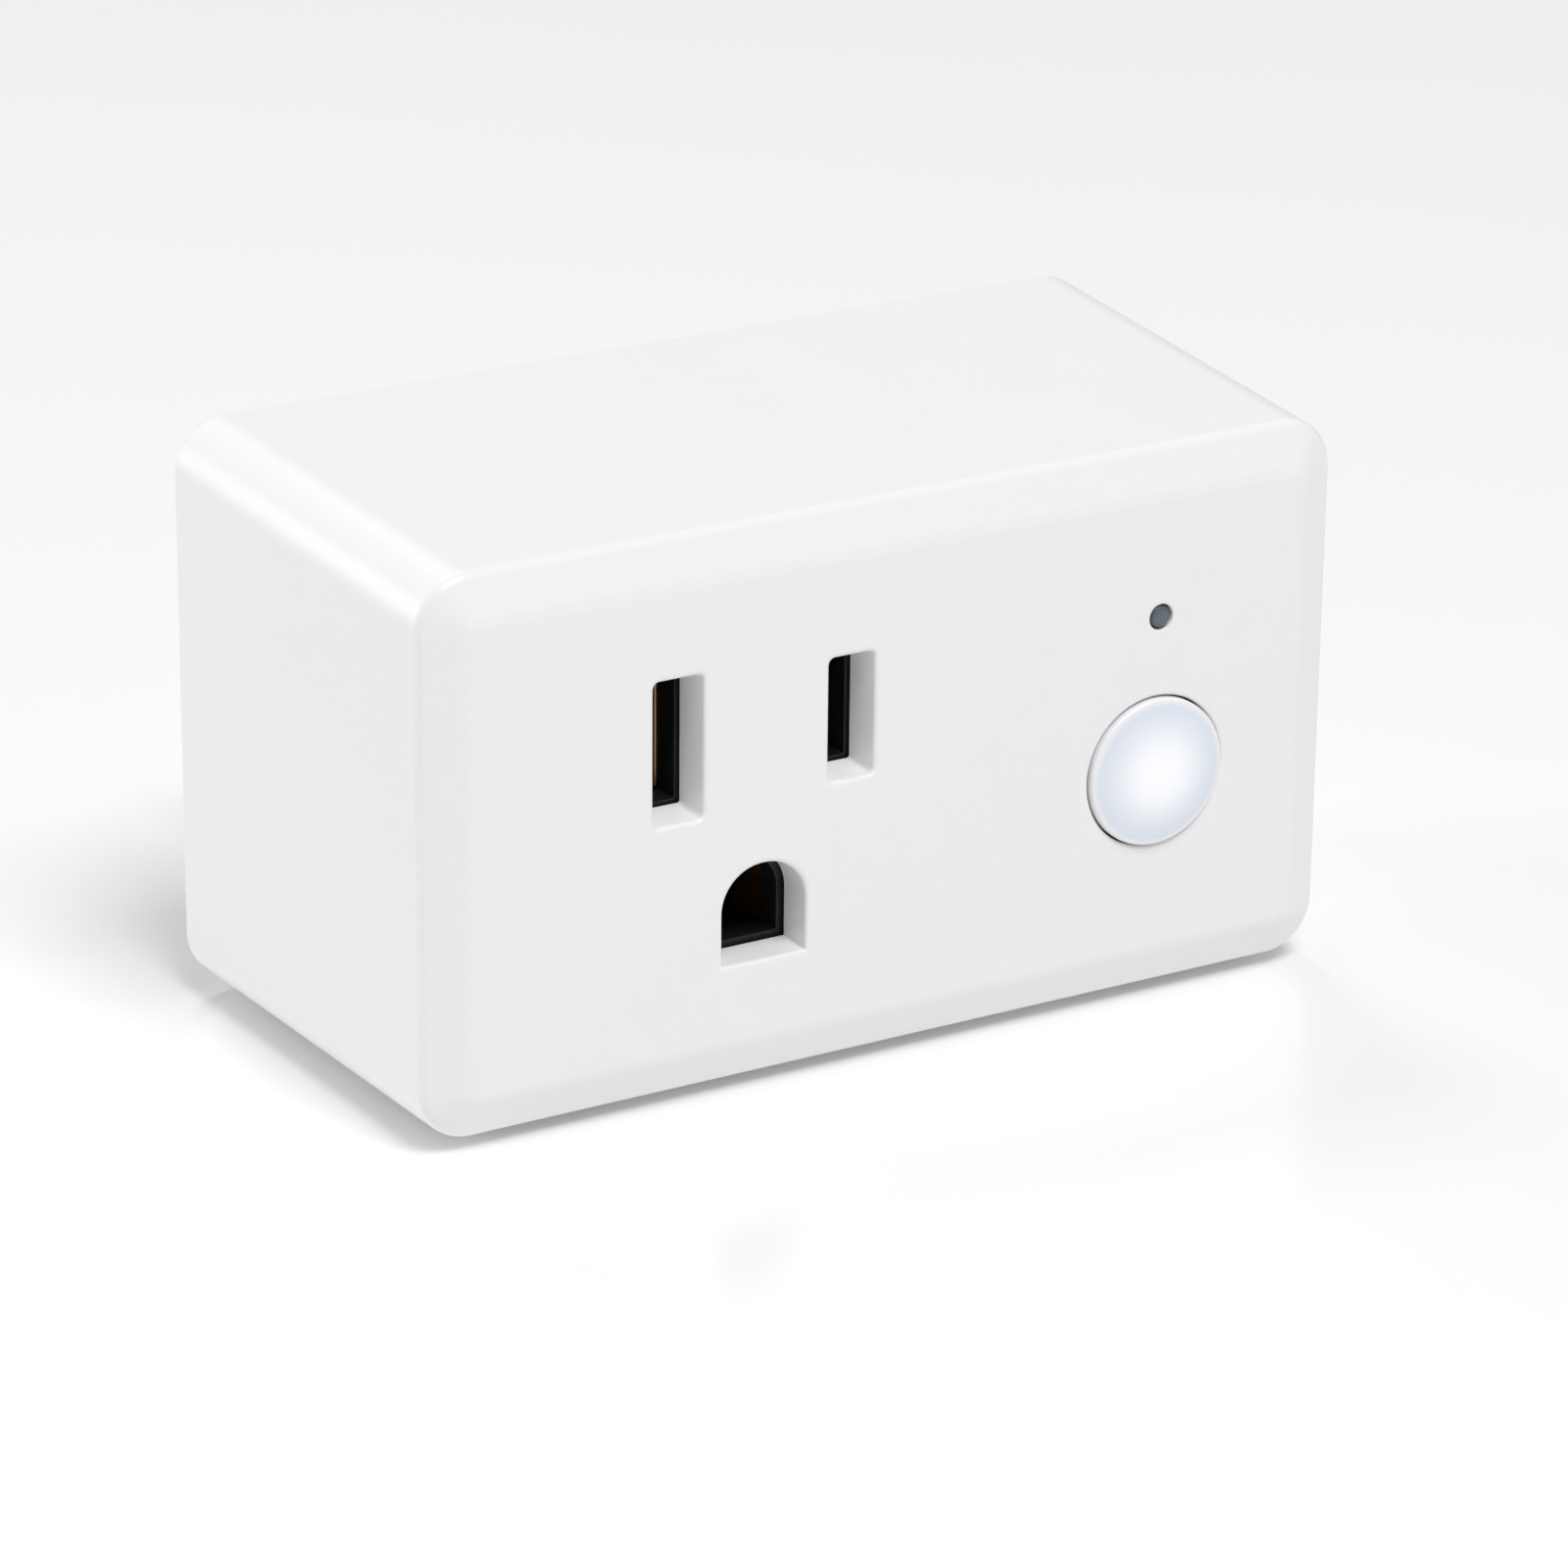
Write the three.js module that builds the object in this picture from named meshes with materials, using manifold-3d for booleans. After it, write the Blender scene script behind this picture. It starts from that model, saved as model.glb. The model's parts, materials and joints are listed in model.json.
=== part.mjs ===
// A smart plug: a white housing with one grounded outlet, a push button and a status light on
// its front, and two blades and a ground pin on its back.
// Millimetres. The origin is on the wall face, midway between the blades. +X points right as
// seen from the front, +Y points out of the back into the wall, and +Z is up.

import * as THREE from 'three';
import { mergeVertices } from 'three/addons/utils/BufferGeometryUtils.js';
import Module from 'manifold-3d';

const wasm = await Module();
wasm.setup();

// ---- Driving dimensions ----

const gap = 0.3; // clearance between pieces that meet
const roundSides = 24; // sides of an ordinary round piece

const body = { width: 68, height: 37.8, depth: 33, corner: 3.6, sideDraft: 1.1, topDraft: 1.4 };
const chamfer = { inset: 3, depth: 1.5 };
const shell = { front: 2.7, side: 2.2, rim: 1.1 };
const outlet = { fromLeft: 24.1, fromBottom: 23.9, spacing: 12.7, groundDrop: 11.9 };
const neutralSlot = { width: 3.65, height: 9.75, corner: 0.4 };
const lineSlot = { width: 3.4, height: 8.4, corner: 0.4 };
const groundSlot = { width: 6.2, foot: 3.5 };
const rib = { thickness: 1.2, depth: 4 };

const carrier = { wall: 1.4, front: 2, corner: 1.2, slotMargin: 0.5 };
const carrierCap = { thickness: 1.5, toBoard: 3 };
const bladeClip = { width: 5.2, height: 8.8, pinch: 1.2 };
const groundClip = { width: 7.2, height: 6.4, pinch: 4.5 };
const leaf = { thickness: 0.6, flare: 0.6, neck: 2.2, bend: 5 };
const contactTail = { width: 2.2, thickness: 0.8 };

const blade = { thickness: 1.5, width: 6.35, length: 17.5, nose: 1.2, hole: 1.6, holeAt: 11.7 };
const bladeTail = { shoulder: 9.2, width: 3, below: 1.5 };
const groundPin = { radius: 2.4, length: 20.6, nose: 2.2, flange: 3.4, shank: 1.5 };

const cover = { thickness: 2.5, post: 1.8 };
const boss = { fromSide: 5, radius: 2.9 };
const screw = { radius: 1.1, length: 10, head: 2.3, headHeight: 1.1, sink: 0.1, cross: 0.6 };

const mainBoard = { thickness: 1.6, toCover: 3.4, margin: 0.6 };
const controlBoard = { thickness: 1.2, toWall: 6.3 };
const solder = 0.8; // how far a tail stands through the main board

const button = { radius: 5.1, fromRight: 14.2, fromBottom: 15.8, proud: 0.8, edge: 0.35, travel: 0.5 };
const buttonCap = { clearance: 0.15, flange: 0.9, flangeDepth: 0.8, wall: 1.2, crown: 1.4, stem: 1.6 };
const guide = { thickness: 1, depth: 2.4 };
const tactSwitch = { side: 6, height: 3.3, proud: 0.7, plunger: 1.7, seat: 1 };
const buttonLed = { fromAxis: 4.6, width: 1.6, length: 2.4, height: 0.8 };

const light = { radius: 0.75, fromRight: 14, fromBottom: 26.5, clearance: 0.15, collar: 1.8, collarDepth: 1 };
const statusLed = { width: 1.6, length: 1.6, height: 0.7 };

const wifiBoard = { width: 17, height: 16, thickness: 0.8, fromTop: 3.4 };
const wifiShield = { width: 12.6, height: 12.6, depth: 1.9, wall: 0.3, offset: -1.6 };
const wifiChip = { side: 5, height: 0.9 };

const relay = { width: 18, height: 10.2, wall: 0.6, base: 1.2, fromBottom: 0.6 };
const coil = { length: 9, flange: 3.5, barrel: 1.8, flangeDepth: 0.7, clear: 0.6 };
const iron = { thickness: 0.8, width: 7, core: 1.1, pole: 2.3, clear: 0.7 };
const armature = { airGap: 0.5, width: 6.6, reach: 7.4, over: 0.4 };
const relayStrip = { thickness: 0.35, width: 3.2, button: 0.9, buttonDepth: 0.5, open: 0.3, fixed: 0.5 };

const spacing = 0.4; // between neighbouring parts on the main board
const inputCapacitor = { radius: 4 };
const outputCapacitor = { radius: 3.15, share: 0.75 };
const transformer = { width: 9.8, core: 4, share: 0.8, leg: 2.6, yoke: 1.5, outer: 1.3, spread: 1.7 };
const choke = { radius: 3, barrel: 1.4, flange: 0.9, height: 6.6, winding: 2.6 };
const fuse = { width: 3.4, height: 8, depth: 7 };
const rectifier = { width: 4, height: 4.6, depth: 1.6 };
const powerChip = { width: 5, height: 4, depth: 1.5 };
const varistor = { radius: 3.6, thickness: 2.9, fromLeft: 5.9 };
const safetyCapacitor = { width: 5.4, depth: 11, fromLeft: 5.9 };
const header = { width: 2.4, pitch: 2.54, pins: 4, pin: 0.64, strip: 2.4, fromRight: 4.4 };

// ---- Places that follow from the dimensions ----

const left = -outlet.fromLeft;
const right = left + body.width;
const bottom = -outlet.fromBottom;
const top = bottom + body.height;
const front = -body.depth;
const middleX = (left + right) / 2;
const middleZ = (bottom + top) / 2;

const wallBack = front + shell.front;
const coverFront = -cover.thickness;
const boardBack = coverFront - mainBoard.toCover;
const boardFront = boardBack - mainBoard.thickness;
const controlFront = wallBack + controlBoard.toWall;
const controlBack = controlFront + controlBoard.thickness;
const tailEnd = boardBack + solder;
const shoulderBack = coverFront - gap;
const shoulderFront = tailEnd + gap;

const slotX = outlet.spacing / 2;
const contactTailZ = (bladeClip.height - contactTail.width) / 2;
const bladeTailZ = bladeTail.width / 2 - bladeTail.below - contactTail.width / 2;
const groundZ = -outlet.groundDrop;
const bladeChamber = { width: bladeClip.width + 2 * gap, height: bladeClip.height + 2 * gap };
const groundChamber = { width: groundClip.width + 2 * gap, height: groundClip.height + 2 * gap };
const carrierHalf = slotX + bladeChamber.width / 2 + carrier.wall;
const carrierTop = bladeChamber.height / 2 + carrier.wall;
const carrierBottom = groundZ - groundChamber.height / 2 - carrier.wall;
const carrierFront = wallBack + gap;
const chamberFront = carrierFront + carrier.front;
const capBack = boardFront - carrierCap.toBoard;
const capFront = capBack - carrierCap.thickness;
const carrierBack = capFront - gap;
const clipBack = carrierBack - gap;
const clipLength = clipBack - chamberFront - gap;

const boardEdge = shell.side + mainBoard.margin;
const bayLeft = carrierHalf + gap + rib.thickness + mainBoard.margin;
const bossPlaces = [
  [left + boss.fromSide, bottom + boss.fromSide],
  [right - boss.fromSide, bottom + boss.fromSide],
  [right - boss.fromSide, top - boss.fromSide],
  [left + boss.fromSide, top - boss.fromSide],
];

const buttonX = right - button.fromRight;
const buttonZ = bottom + button.fromBottom;
const switchBack = controlFront - gap;
const switchFront = switchBack - tactSwitch.height;
const plungerFront = switchFront - tactSwitch.proud;
const plungerBack = switchFront + tactSwitch.seat;
const flangeRadius = button.radius + buttonCap.flange;

const lightX = right - light.fromRight;
const lightZ = bottom + light.fromBottom;
const statusLedFront = controlFront - gap - statusLed.height;

const wifiFront = controlBack + gap;
const shieldFront = wifiFront + wifiBoard.thickness + gap;
const partsBack = boardFront - gap;
const tallSpace = partsBack - (shieldFront + wifiShield.depth + gap);

const relayLeft = bayLeft + gap;
const relayBottom = bottom + shell.side + relay.fromBottom;
const relayZ = relayBottom + relay.height / 2;
const relayBaseFront = partsBack - relay.base;
const relayTop = relayBottom + relay.height;
const coilY = relayBaseFront - coil.clear - coil.flange;
const yokeLeft = relayLeft + relay.wall + gap;
const coilLeft = yokeLeft + iron.thickness + gap;
const coilRight = coilLeft + coil.length;
const poleRight = coilRight + gap + iron.thickness;
const armatureLeft = poleRight + armature.airGap;
const hingeY = coilY - coil.flange - iron.clear - iron.thickness / 2;
const stripLeft = armatureLeft + iron.thickness + gap;

const lowRowHalf = transformer.core / 2 + gap + transformer.spread;
const lowRowZ = relayTop + spacing + lowRowHalf;
const highRowBottom = lowRowZ + lowRowHalf + spacing;
const bossReach = boss.fromSide + boss.radius + spacing;
const sideRowBottom = bottom + bossReach;
const sideRowTop = top - bossReach;

const transformerX = bayLeft + spacing + transformer.width / 2;
const chokeX = transformerX + transformer.width / 2 + spacing + choke.radius;
const fuseX = chokeX + choke.radius + spacing + fuse.width / 2;
const inputCapacitorX = bayLeft + spacing + inputCapacitor.radius;
const outputCapacitorX = inputCapacitorX + inputCapacitor.radius + spacing + outputCapacitor.radius;
const chipLeft = outputCapacitorX + outputCapacitor.radius + spacing;

const wifiX = bayLeft + spacing + wifiBoard.width / 2;
const wifiZ = top - wifiBoard.fromTop - wifiBoard.height / 2;

// ---- Finishes ----

const finish = (color, roughness, metalness = 0) =>
  new THREE.MeshStandardMaterial({ color, roughness, metalness });

const whiteShell = finish(0xf1f0f3, 0.38);
const blackInsert = finish(0x17171a, 0.55);
const frostedCap = finish(0xf0f3fa, 0.3);
const clearPipe = finish(0x656f76, 0.25);
const nickel = finish(0xc9c6bd, 0.25, 1);
const bronze = finish(0xb08a4e, 0.35, 1);
const steel = finish(0x8f9297, 0.3, 1);
const greenBoard = finish(0x1f5a3a, 0.5);
const blueBoard = finish(0x1d3f7a, 0.45);
const copper = finish(0xb5683a, 0.35, 1);
const ferrite = finish(0x2b2b2e, 0.6);
const epoxyBlack = finish(0x1c1c1f, 0.5);
const relayBlue = finish(0x2f6fb5, 0.4);
const bobbinCream = finish(0xe6e0d0, 0.5);
const foilYellow = finish(0xd9b33a, 0.45);
const varistorBlue = finish(0x2b62a8, 0.4);
const sleeveBlack = finish(0x22242a, 0.35);
const fuseBrown = finish(0x6b4a3a, 0.5);
const ledWhite = finish(0xf4f1de, 0.35);

// ---- Shape helpers ----

// Merges shared corners, drops triangles of no area and turns an inside-out mesh round.
function closedGeometry(source) {
  const bare = source.clone();
  bare.deleteAttribute('normal');
  bare.deleteAttribute('uv');
  const merged = mergeVertices(bare, 1e-4);
  const corners = merged.index.array;
  const place = merged.attributes.position;
  const [a, b, c] = [new THREE.Vector3(), new THREE.Vector3(), new THREE.Vector3()];
  const kept = [];
  let volume = 0;
  for (let i = 0; i < corners.length; i += 3) {
    const [p, q, r] = [corners[i], corners[i + 1], corners[i + 2]];
    if (p === q || q === r || r === p) continue;
    kept.push(p, q, r);
    a.fromBufferAttribute(place, p);
    b.fromBufferAttribute(place, q);
    c.fromBufferAttribute(place, r);
    volume += a.dot(b.cross(c));
  }
  merged.setIndex(volume < 0 ? kept.reverse() : kept);
  return merged;
}

function toSolid(geometry) {
  const closed = closedGeometry(geometry);
  const vertProperties = new Float32Array(closed.attributes.position.array);
  const triVerts = new Uint32Array(closed.index.array);
  return new wasm.Manifold(new wasm.Mesh({ numProp: 3, vertProperties, triVerts }));
}

function toGeometry(solid) {
  const mesh = solid.getMesh();
  const geometry = new THREE.BufferGeometry();
  geometry.setAttribute('position', new THREE.BufferAttribute(mesh.vertProperties, mesh.numProp));
  geometry.setIndex(new THREE.BufferAttribute(mesh.triVerts, 1));
  geometry.computeVertexNormals();
  return geometry;
}

function join(first, ...others) {
  return toGeometry(others.reduce((solid, next) => solid.add(toSolid(next)), toSolid(first)));
}

function cut(first, ...tools) {
  return toGeometry(tools.reduce((solid, tool) => solid.subtract(toSolid(tool)), toSolid(first)));
}

// A box given by its lowest and highest coordinates along each axis.
function block([x0, x1], [y0, y1], [z0, z1]) {
  const box = new THREE.BoxGeometry(x1 - x0, y1 - y0, z1 - z0);
  return box.translate((x0 + x1) / 2, (y0 + y1) / 2, (z0 + z1) / 2);
}

function span(centre, size) {
  return [centre - size / 2, centre + size / 2];
}

// A rectangle with round corners, as an outline across X and Z.
function roundedOutline([x0, x1], [z0, z1], radius) {
  const outline = new THREE.Shape();
  outline.moveTo(x0 + radius, z0);
  outline.absarc(x1 - radius, z0 + radius, radius, -Math.PI / 2, 0);
  outline.absarc(x1 - radius, z1 - radius, radius, 0, Math.PI / 2);
  outline.absarc(x0 + radius, z1 - radius, radius, Math.PI / 2, Math.PI);
  outline.absarc(x0 + radius, z0 + radius, radius, Math.PI, Math.PI * 1.5);
  return outline;
}

// The upright ground slot: a half circle on a flat foot.
function groundOutline(radius, foot) {
  const outline = new THREE.Shape();
  outline.moveTo(-radius, groundZ - foot);
  outline.lineTo(radius, groundZ - foot);
  outline.absarc(0, groundZ, radius, 0, Math.PI);
  return outline;
}

// Extrudes an outline across X and Z along Y, from y0 to y1.
function slab(outline, [y0, y1], curveSegments = 5) {
  const settings = { depth: y1 - y0, bevelEnabled: false, curveSegments };
  const geometry = new THREE.ExtrudeGeometry(outline, settings);
  return geometry.rotateX(Math.PI / 2).translate(0, y1, 0);
}

// A round bar along Y.
function bar(radius, [y0, y1], x = 0, z = 0, sides = roundSides) {
  return new THREE.CylinderGeometry(radius, radius, y1 - y0, sides).translate(x, (y0 + y1) / 2, z);
}

// A round bar along X.
function crossBar(radius, [x0, x1], y, z, sides = roundSides) {
  const geometry = new THREE.CylinderGeometry(radius, radius, x1 - x0, sides).rotateZ(Math.PI / 2);
  return geometry.translate((x0 + x1) / 2, y, z);
}

// A turned piece about the Y axis, from [radius, y] pairs.
function turned(profile, sides = roundSides) {
  return closedGeometry(new THREE.LatheGeometry(profile.map(([r, y]) => new THREE.Vector2(r, y)), sides));
}

// Spreads a shape with the mould's draft: nothing at the front face, most at the wall face.
function withDraft(geometry) {
  const place = geometry.attributes.position;
  for (let i = 0; i < place.count; i += 1) {
    const back = (place.getY(i) - front) / body.depth;
    const across = (place.getX(i) - middleX) / (body.width / 2);
    const up = (place.getZ(i) - bottom) / body.height;
    place.setX(i, place.getX(i) + across * back * body.sideDraft);
    place.setZ(i, place.getZ(i) + up * back * body.topDraft);
  }
  return geometry;
}

// The body's outline, drawn in by an inset.
function bodyOutline(inset) {
  const corner = Math.max(body.corner, chamfer.inset + gap);
  const radius = Math.max(corner - inset, 0.8);
  return roundedOutline([left + inset, right - inset], [bottom + inset, top - inset], radius);
}

const plug = new THREE.Group();

// A sub-assembly of the plug, with its own reference point.
function assembly(x = 0, y = 0, z = 0) {
  const group = new THREE.Group();
  group.position.set(x, y, z);
  plug.add(group);
  return group;
}

function add(group, name, geometry, material, x = 0, y = 0, z = 0) {
  const mesh = new THREE.Mesh(geometry, material);
  mesh.name = name;
  mesh.position.set(x, y, z);
  group.add(mesh);
}

// ---- Housing ----

// The outer block, with a flat chamfer all round the front face.
function housingBlock() {
  const extra = body.depth - chamfer.depth;
  const geometry = new THREE.ExtrudeGeometry(bodyOutline(0), {
    depth: extra, curveSegments: 7, bevelSegments: 1,
    bevelThickness: chamfer.depth, bevelSize: chamfer.inset, bevelOffset: -chamfer.inset,
  });
  geometry.rotateX(Math.PI / 2);
  const behind = block([left - 1, right + 1], [0, chamfer.depth + 1], [bottom - 1, top + 1]);
  return withDraft(cut(geometry, behind));
}

function frontSlots() {
  const through = [front - 1, wallBack + 1];
  const upright = ({ width, height, corner }, x) =>
    slab(roundedOutline(span(x, width), span(0, height), corner), through, 2);
  return [
    upright(neutralSlot, -slotX),
    upright(lineSlot, slotX),
    slab(groundOutline(groundSlot.width / 2, groundSlot.foot), through, 12),
  ];
}

// The open frame of ribs that the contact carrier sits in.
function carrierRibs() {
  const ring = (grow, depth) => block(
    [-carrierHalf - grow, carrierHalf + grow], depth, [carrierBottom - grow, carrierTop + grow]);
  const end = wallBack + rib.depth;
  return cut(ring(gap + rib.thickness, [wallBack - 0.5, end]), ring(gap, [wallBack - 1, end + 1]));
}

function buttonGuide() {
  const inner = flangeRadius + gap;
  const depth = [wallBack - 0.5, wallBack + guide.depth];
  return cut(
    bar(inner + guide.thickness, depth, buttonX, buttonZ, 32),
    bar(inner, [wallBack - 1, wallBack + guide.depth + 1], buttonX, buttonZ, 32));
}

function frontHousing() {
  const cavity = withDraft(slab(bodyOutline(shell.side), [wallBack, 1]));
  const rebate = withDraft(slab(bodyOutline(shell.rim), [coverFront - gap, 1]));
  const bosses = bossPlaces.map(([x, z]) => bar(boss.radius, [wallBack - 0.5, coverFront - gap], x, z, 20));
  const pilots = bossPlaces.map(([x, z]) =>
    bar(screw.radius + gap, [-screw.length - screw.sink - screw.headHeight - 1, 1], x, z, 16));
  const hollow = cut(housingBlock(), cavity, rebate);
  const fitted = join(hollow, ...bosses, carrierRibs(), buttonGuide());
  const through = [front - 1, wallBack + 0.5];
  return cut(
    fitted, ...pilots, ...frontSlots(),
    bar(button.radius + buttonCap.clearance, through, buttonX, buttonZ, 48),
    bar(light.radius + light.clearance, through, lightX, lightZ, 20));
}

// ---- Back cover and its screws ----

function rearCover() {
  const plate = withDraft(slab(bodyOutline(shell.rim + gap), [coverFront, 0]));
  const third = (right - slotX) / 3;
  const posts = [(left - slotX) / 2, slotX + third, slotX + 2 * third].map((x) =>
    bar(cover.post, [boardBack + gap, coverFront + 0.5], x, top - 2 * boss.fromSide, 16));
  const headSeat = screw.sink + screw.headHeight + gap;
  const screwHoles = bossPlaces.flatMap(([x, z]) => [
    bar(screw.radius + gap, [coverFront - 1, 1], x, z, 16),
    bar(screw.head + gap, [-headSeat, 1], x, z, 20),
  ]);
  const bladeSlots = [-slotX, slotX].map((x) =>
    block(span(x, blade.thickness + 2 * gap), [coverFront - 1, 1], span(0, blade.width + 2 * gap)));
  const pinHole = bar(groundPin.radius + gap, [coverFront - 1, 1], 0, groundZ);
  return cut(join(plate, ...posts), ...screwHoles, ...bladeSlots, pinHole);
}

function coverScrew() {
  const top = -screw.sink;
  const seat = top - screw.headHeight;
  const point = seat - screw.length;
  const shank = turned([
    [0, point], [screw.radius * 0.5, point], [screw.radius, point + 1.2], [screw.radius, seat],
    [screw.head, seat], [screw.head, top - 0.4], [screw.head - 0.4, top], [0, top],
  ], 20);
  const deep = [top - screw.headHeight * 0.6, top + 1];
  const reach = screw.head * 1.2;
  return cut(shank, block(span(0, screw.cross), deep, span(0, reach)),
    block(span(0, reach), deep, span(0, screw.cross)));
}

function addHousing() {
  const group = assembly();
  add(group, 'front_housing', frontHousing(), whiteShell);
  add(group, 'rear_cover', rearCover(), whiteShell);
  const shape = coverScrew();
  bossPlaces.forEach(([x, z], i) => add(group, `cover_screw_${i + 1}`, shape.clone(), steel, x, 0, z));
}

// ---- Outlet: carrier, contacts, blades and pin ----

function contactCarrier() {
  const outline = roundedOutline([-carrierHalf, carrierHalf], [carrierBottom, carrierTop], carrier.corner);
  const chamberDepth = [chamberFront, carrierBack + 1];
  const chambers = [
    block(span(-slotX, bladeChamber.width), chamberDepth, span(0, bladeChamber.height)),
    block(span(slotX, bladeChamber.width), chamberDepth, span(0, bladeChamber.height)),
    block(span(0, groundChamber.width), chamberDepth, span(groundZ, groundChamber.height)),
  ];
  const mouth = [carrierFront - 1, chamberFront + 0.5];
  const margin = carrier.slotMargin;
  const inside = 2 * margin;
  const groundMouth = groundOutline(groundSlot.width / 2 - margin, groundSlot.foot - margin);
  const mouths = [
    block(span(-slotX, neutralSlot.width - inside), mouth, span(0, neutralSlot.height - inside)),
    block(span(slotX, lineSlot.width - inside), mouth, span(0, lineSlot.height - inside)),
    slab(groundMouth, mouth, 10),
  ];
  return cut(slab(outline, [carrierFront, carrierBack]), ...chambers, ...mouths);
}

// A hole that clears a contact's tail.
function tailHole(x, depth) {
  const high = span(contactTailZ, contactTail.width + 2 * gap);
  return block(span(x, contactTail.thickness + 2 * gap), depth, high);
}

function carrierLid() {
  const outline = roundedOutline([-carrierHalf, carrierHalf], [carrierBottom, carrierTop], carrier.corner);
  const through = [capFront - 1, capBack + 1];
  const tailSlots = [-slotX, slotX].map((x) => tailHole(x, through));
  const pinHole = bar(groundPin.shank + gap, through, 0, groundZ, 20);
  return cut(slab(outline, [capFront, capBack]), ...tailSlots, pinHole);
}

// A spring clip seen from above: two leaves that pinch near the mouth and flare at it.
function clip({ width, height, pinch }) {
  const outer = width / 2;
  const grip = pinch / 2;
  const { thickness, flare, neck, bend } = leaf;
  const half = [
    [outer, 0],
    [outer, bend - clipLength],
    [grip + thickness, neck - clipLength],
    [grip + thickness + flare, -clipLength],
    [grip + flare, -clipLength],
    [grip, neck - clipLength],
    [outer - thickness, bend - clipLength],
    [outer - thickness, -contactTail.thickness],
  ];
  const mirrored = half.map(([x, y]) => [-x, y]).reverse();
  const outline = new THREE.Shape([...half, ...mirrored].map(([x, y]) => new THREE.Vector2(x, y)));
  const geometry = new THREE.ExtrudeGeometry(outline, { depth: height, bevelEnabled: false });
  return geometry.translate(0, 0, -height / 2);
}

function bladeContact() {
  const reach = [-0.2, tailEnd - clipBack];
  const tail = block(span(0, contactTail.thickness), reach, span(contactTailZ, contactTail.width));
  return join(clip(bladeClip), tail);
}

// A blade lies in the plane across X: a tongue with a hole, a shoulder and a solder tail.
function bladeShape() {
  const half = blade.width / 2;
  const step = bladeTail.shoulder / 2;
  const tailTop = bladeTailZ + bladeTail.width / 2;
  const outline = new THREE.Shape([
    [blade.length, half - blade.nose], [blade.length - blade.nose, half], [shoulderBack, half],
    [shoulderBack, step], [shoulderFront, step], [shoulderFront, tailTop], [boardFront - solder, tailTop],
    [boardFront - solder, tailTop - bladeTail.width], [shoulderFront, tailTop - bladeTail.width],
    [shoulderFront, -step], [shoulderBack, -step], [shoulderBack, -half],
    [blade.length - blade.nose, -half], [blade.length, blade.nose - half],
  ].map(([y, z]) => new THREE.Vector2(y, z)));
  outline.holes.push(new THREE.Path().absarc(blade.holeAt, 0, blade.hole, 0, Math.PI * 2));
  const settings = { depth: blade.thickness, bevelEnabled: false, curveSegments: 20 };
  const geometry = new THREE.ExtrudeGeometry(outline, settings);
  return geometry.rotateY(Math.PI / 2).rotateX(Math.PI / 2).translate(-blade.thickness / 2, 0, 0);
}

function groundPinShape() {
  const { radius, length, nose, flange, shank } = groundPin;
  const steps = 6;
  const tip = Array.from({ length: steps }, (_, i) => {
    const turn = ((i + 1) / steps) * (Math.PI / 2);
    return [radius * Math.cos(turn), length - nose + nose * Math.sin(turn)];
  });
  tip[steps - 1][0] = 0;
  return turned([
    [0, clipBack + gap], [shank, clipBack + gap], [shank, shoulderFront], [flange, shoulderFront],
    [flange, shoulderBack], [radius, shoulderBack], [radius, length - nose], ...tip,
  ]);
}

function addOutlet() {
  const group = assembly();
  add(group, 'contact_carrier', contactCarrier(), blackInsert);
  add(group, 'carrier_cap', carrierLid(), blackInsert);
  add(group, 'neutral_contact', bladeContact(), bronze, -slotX, clipBack);
  add(group, 'line_contact', bladeContact(), bronze, slotX, clipBack);
  add(group, 'ground_contact', clip(groundClip), bronze, 0, clipBack, groundZ);
  add(group, 'neutral_blade', bladeShape(), nickel, -slotX);
  add(group, 'line_blade', bladeShape(), nickel, slotX);
  add(group, 'ground_pin', groundPinShape(), nickel, 0, 0, groundZ);
}

// ---- Circuit boards ----

// Cylinders that cut a board back from the housing's screw bosses.
function bossNotches([y0, y1]) {
  return bossPlaces.map(([x, z]) => bar(boss.radius + gap, [y0 - 1, y1 + 1], x, z, 20));
}

function mainBoardShape() {
  const depth = [boardFront, boardBack];
  const through = [boardFront - 1, boardBack + 1];
  const plate = block([left + boardEdge, right - boardEdge], depth, [bottom + boardEdge, top - boardEdge]);
  const slots = [-slotX, slotX].flatMap((x) => [
    tailHole(x, through),
    block(span(x, blade.thickness + 2 * gap), through, span(bladeTailZ, bladeTail.width + 2 * gap)),
  ]);
  return cut(plate, ...bossNotches(depth), ...slots, bar(groundPin.shank + gap, through, 0, groundZ, 20));
}

function controlBoardShape() {
  const depth = [controlFront, controlBack];
  const plate = block([bayLeft, right - boardEdge], depth, [bottom + boardEdge, top - boardEdge]);
  return cut(plate, ...bossNotches(depth));
}

function wifiShieldShape() {
  const depth = [shieldFront, shieldFront + wifiShield.depth];
  const { width, height, wall } = wifiShield;
  const hollow = [depth[0] - 1, depth[1] - wall];
  const inside = block(span(0, width - 2 * wall), hollow, span(0, height - 2 * wall));
  return cut(block(span(0, width), depth, span(0, height)), inside);
}

// Two plastic strips joined by the row of pins that links the boards.
function headerShape() {
  const strip = (run) => block(span(0, header.width), run, span(0, header.pins * header.pitch));
  const [start, end] = [controlBack + gap, partsBack];
  const pins = Array.from({ length: header.pins }, (_, i) => {
    const z = (i - (header.pins - 1) / 2) * header.pitch;
    return block(span(0, header.pin), [start + 0.5, end - 0.5], span(z, header.pin));
  });
  return join(strip([start, start + header.strip]), strip([end - header.strip, end]), ...pins);
}

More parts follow.
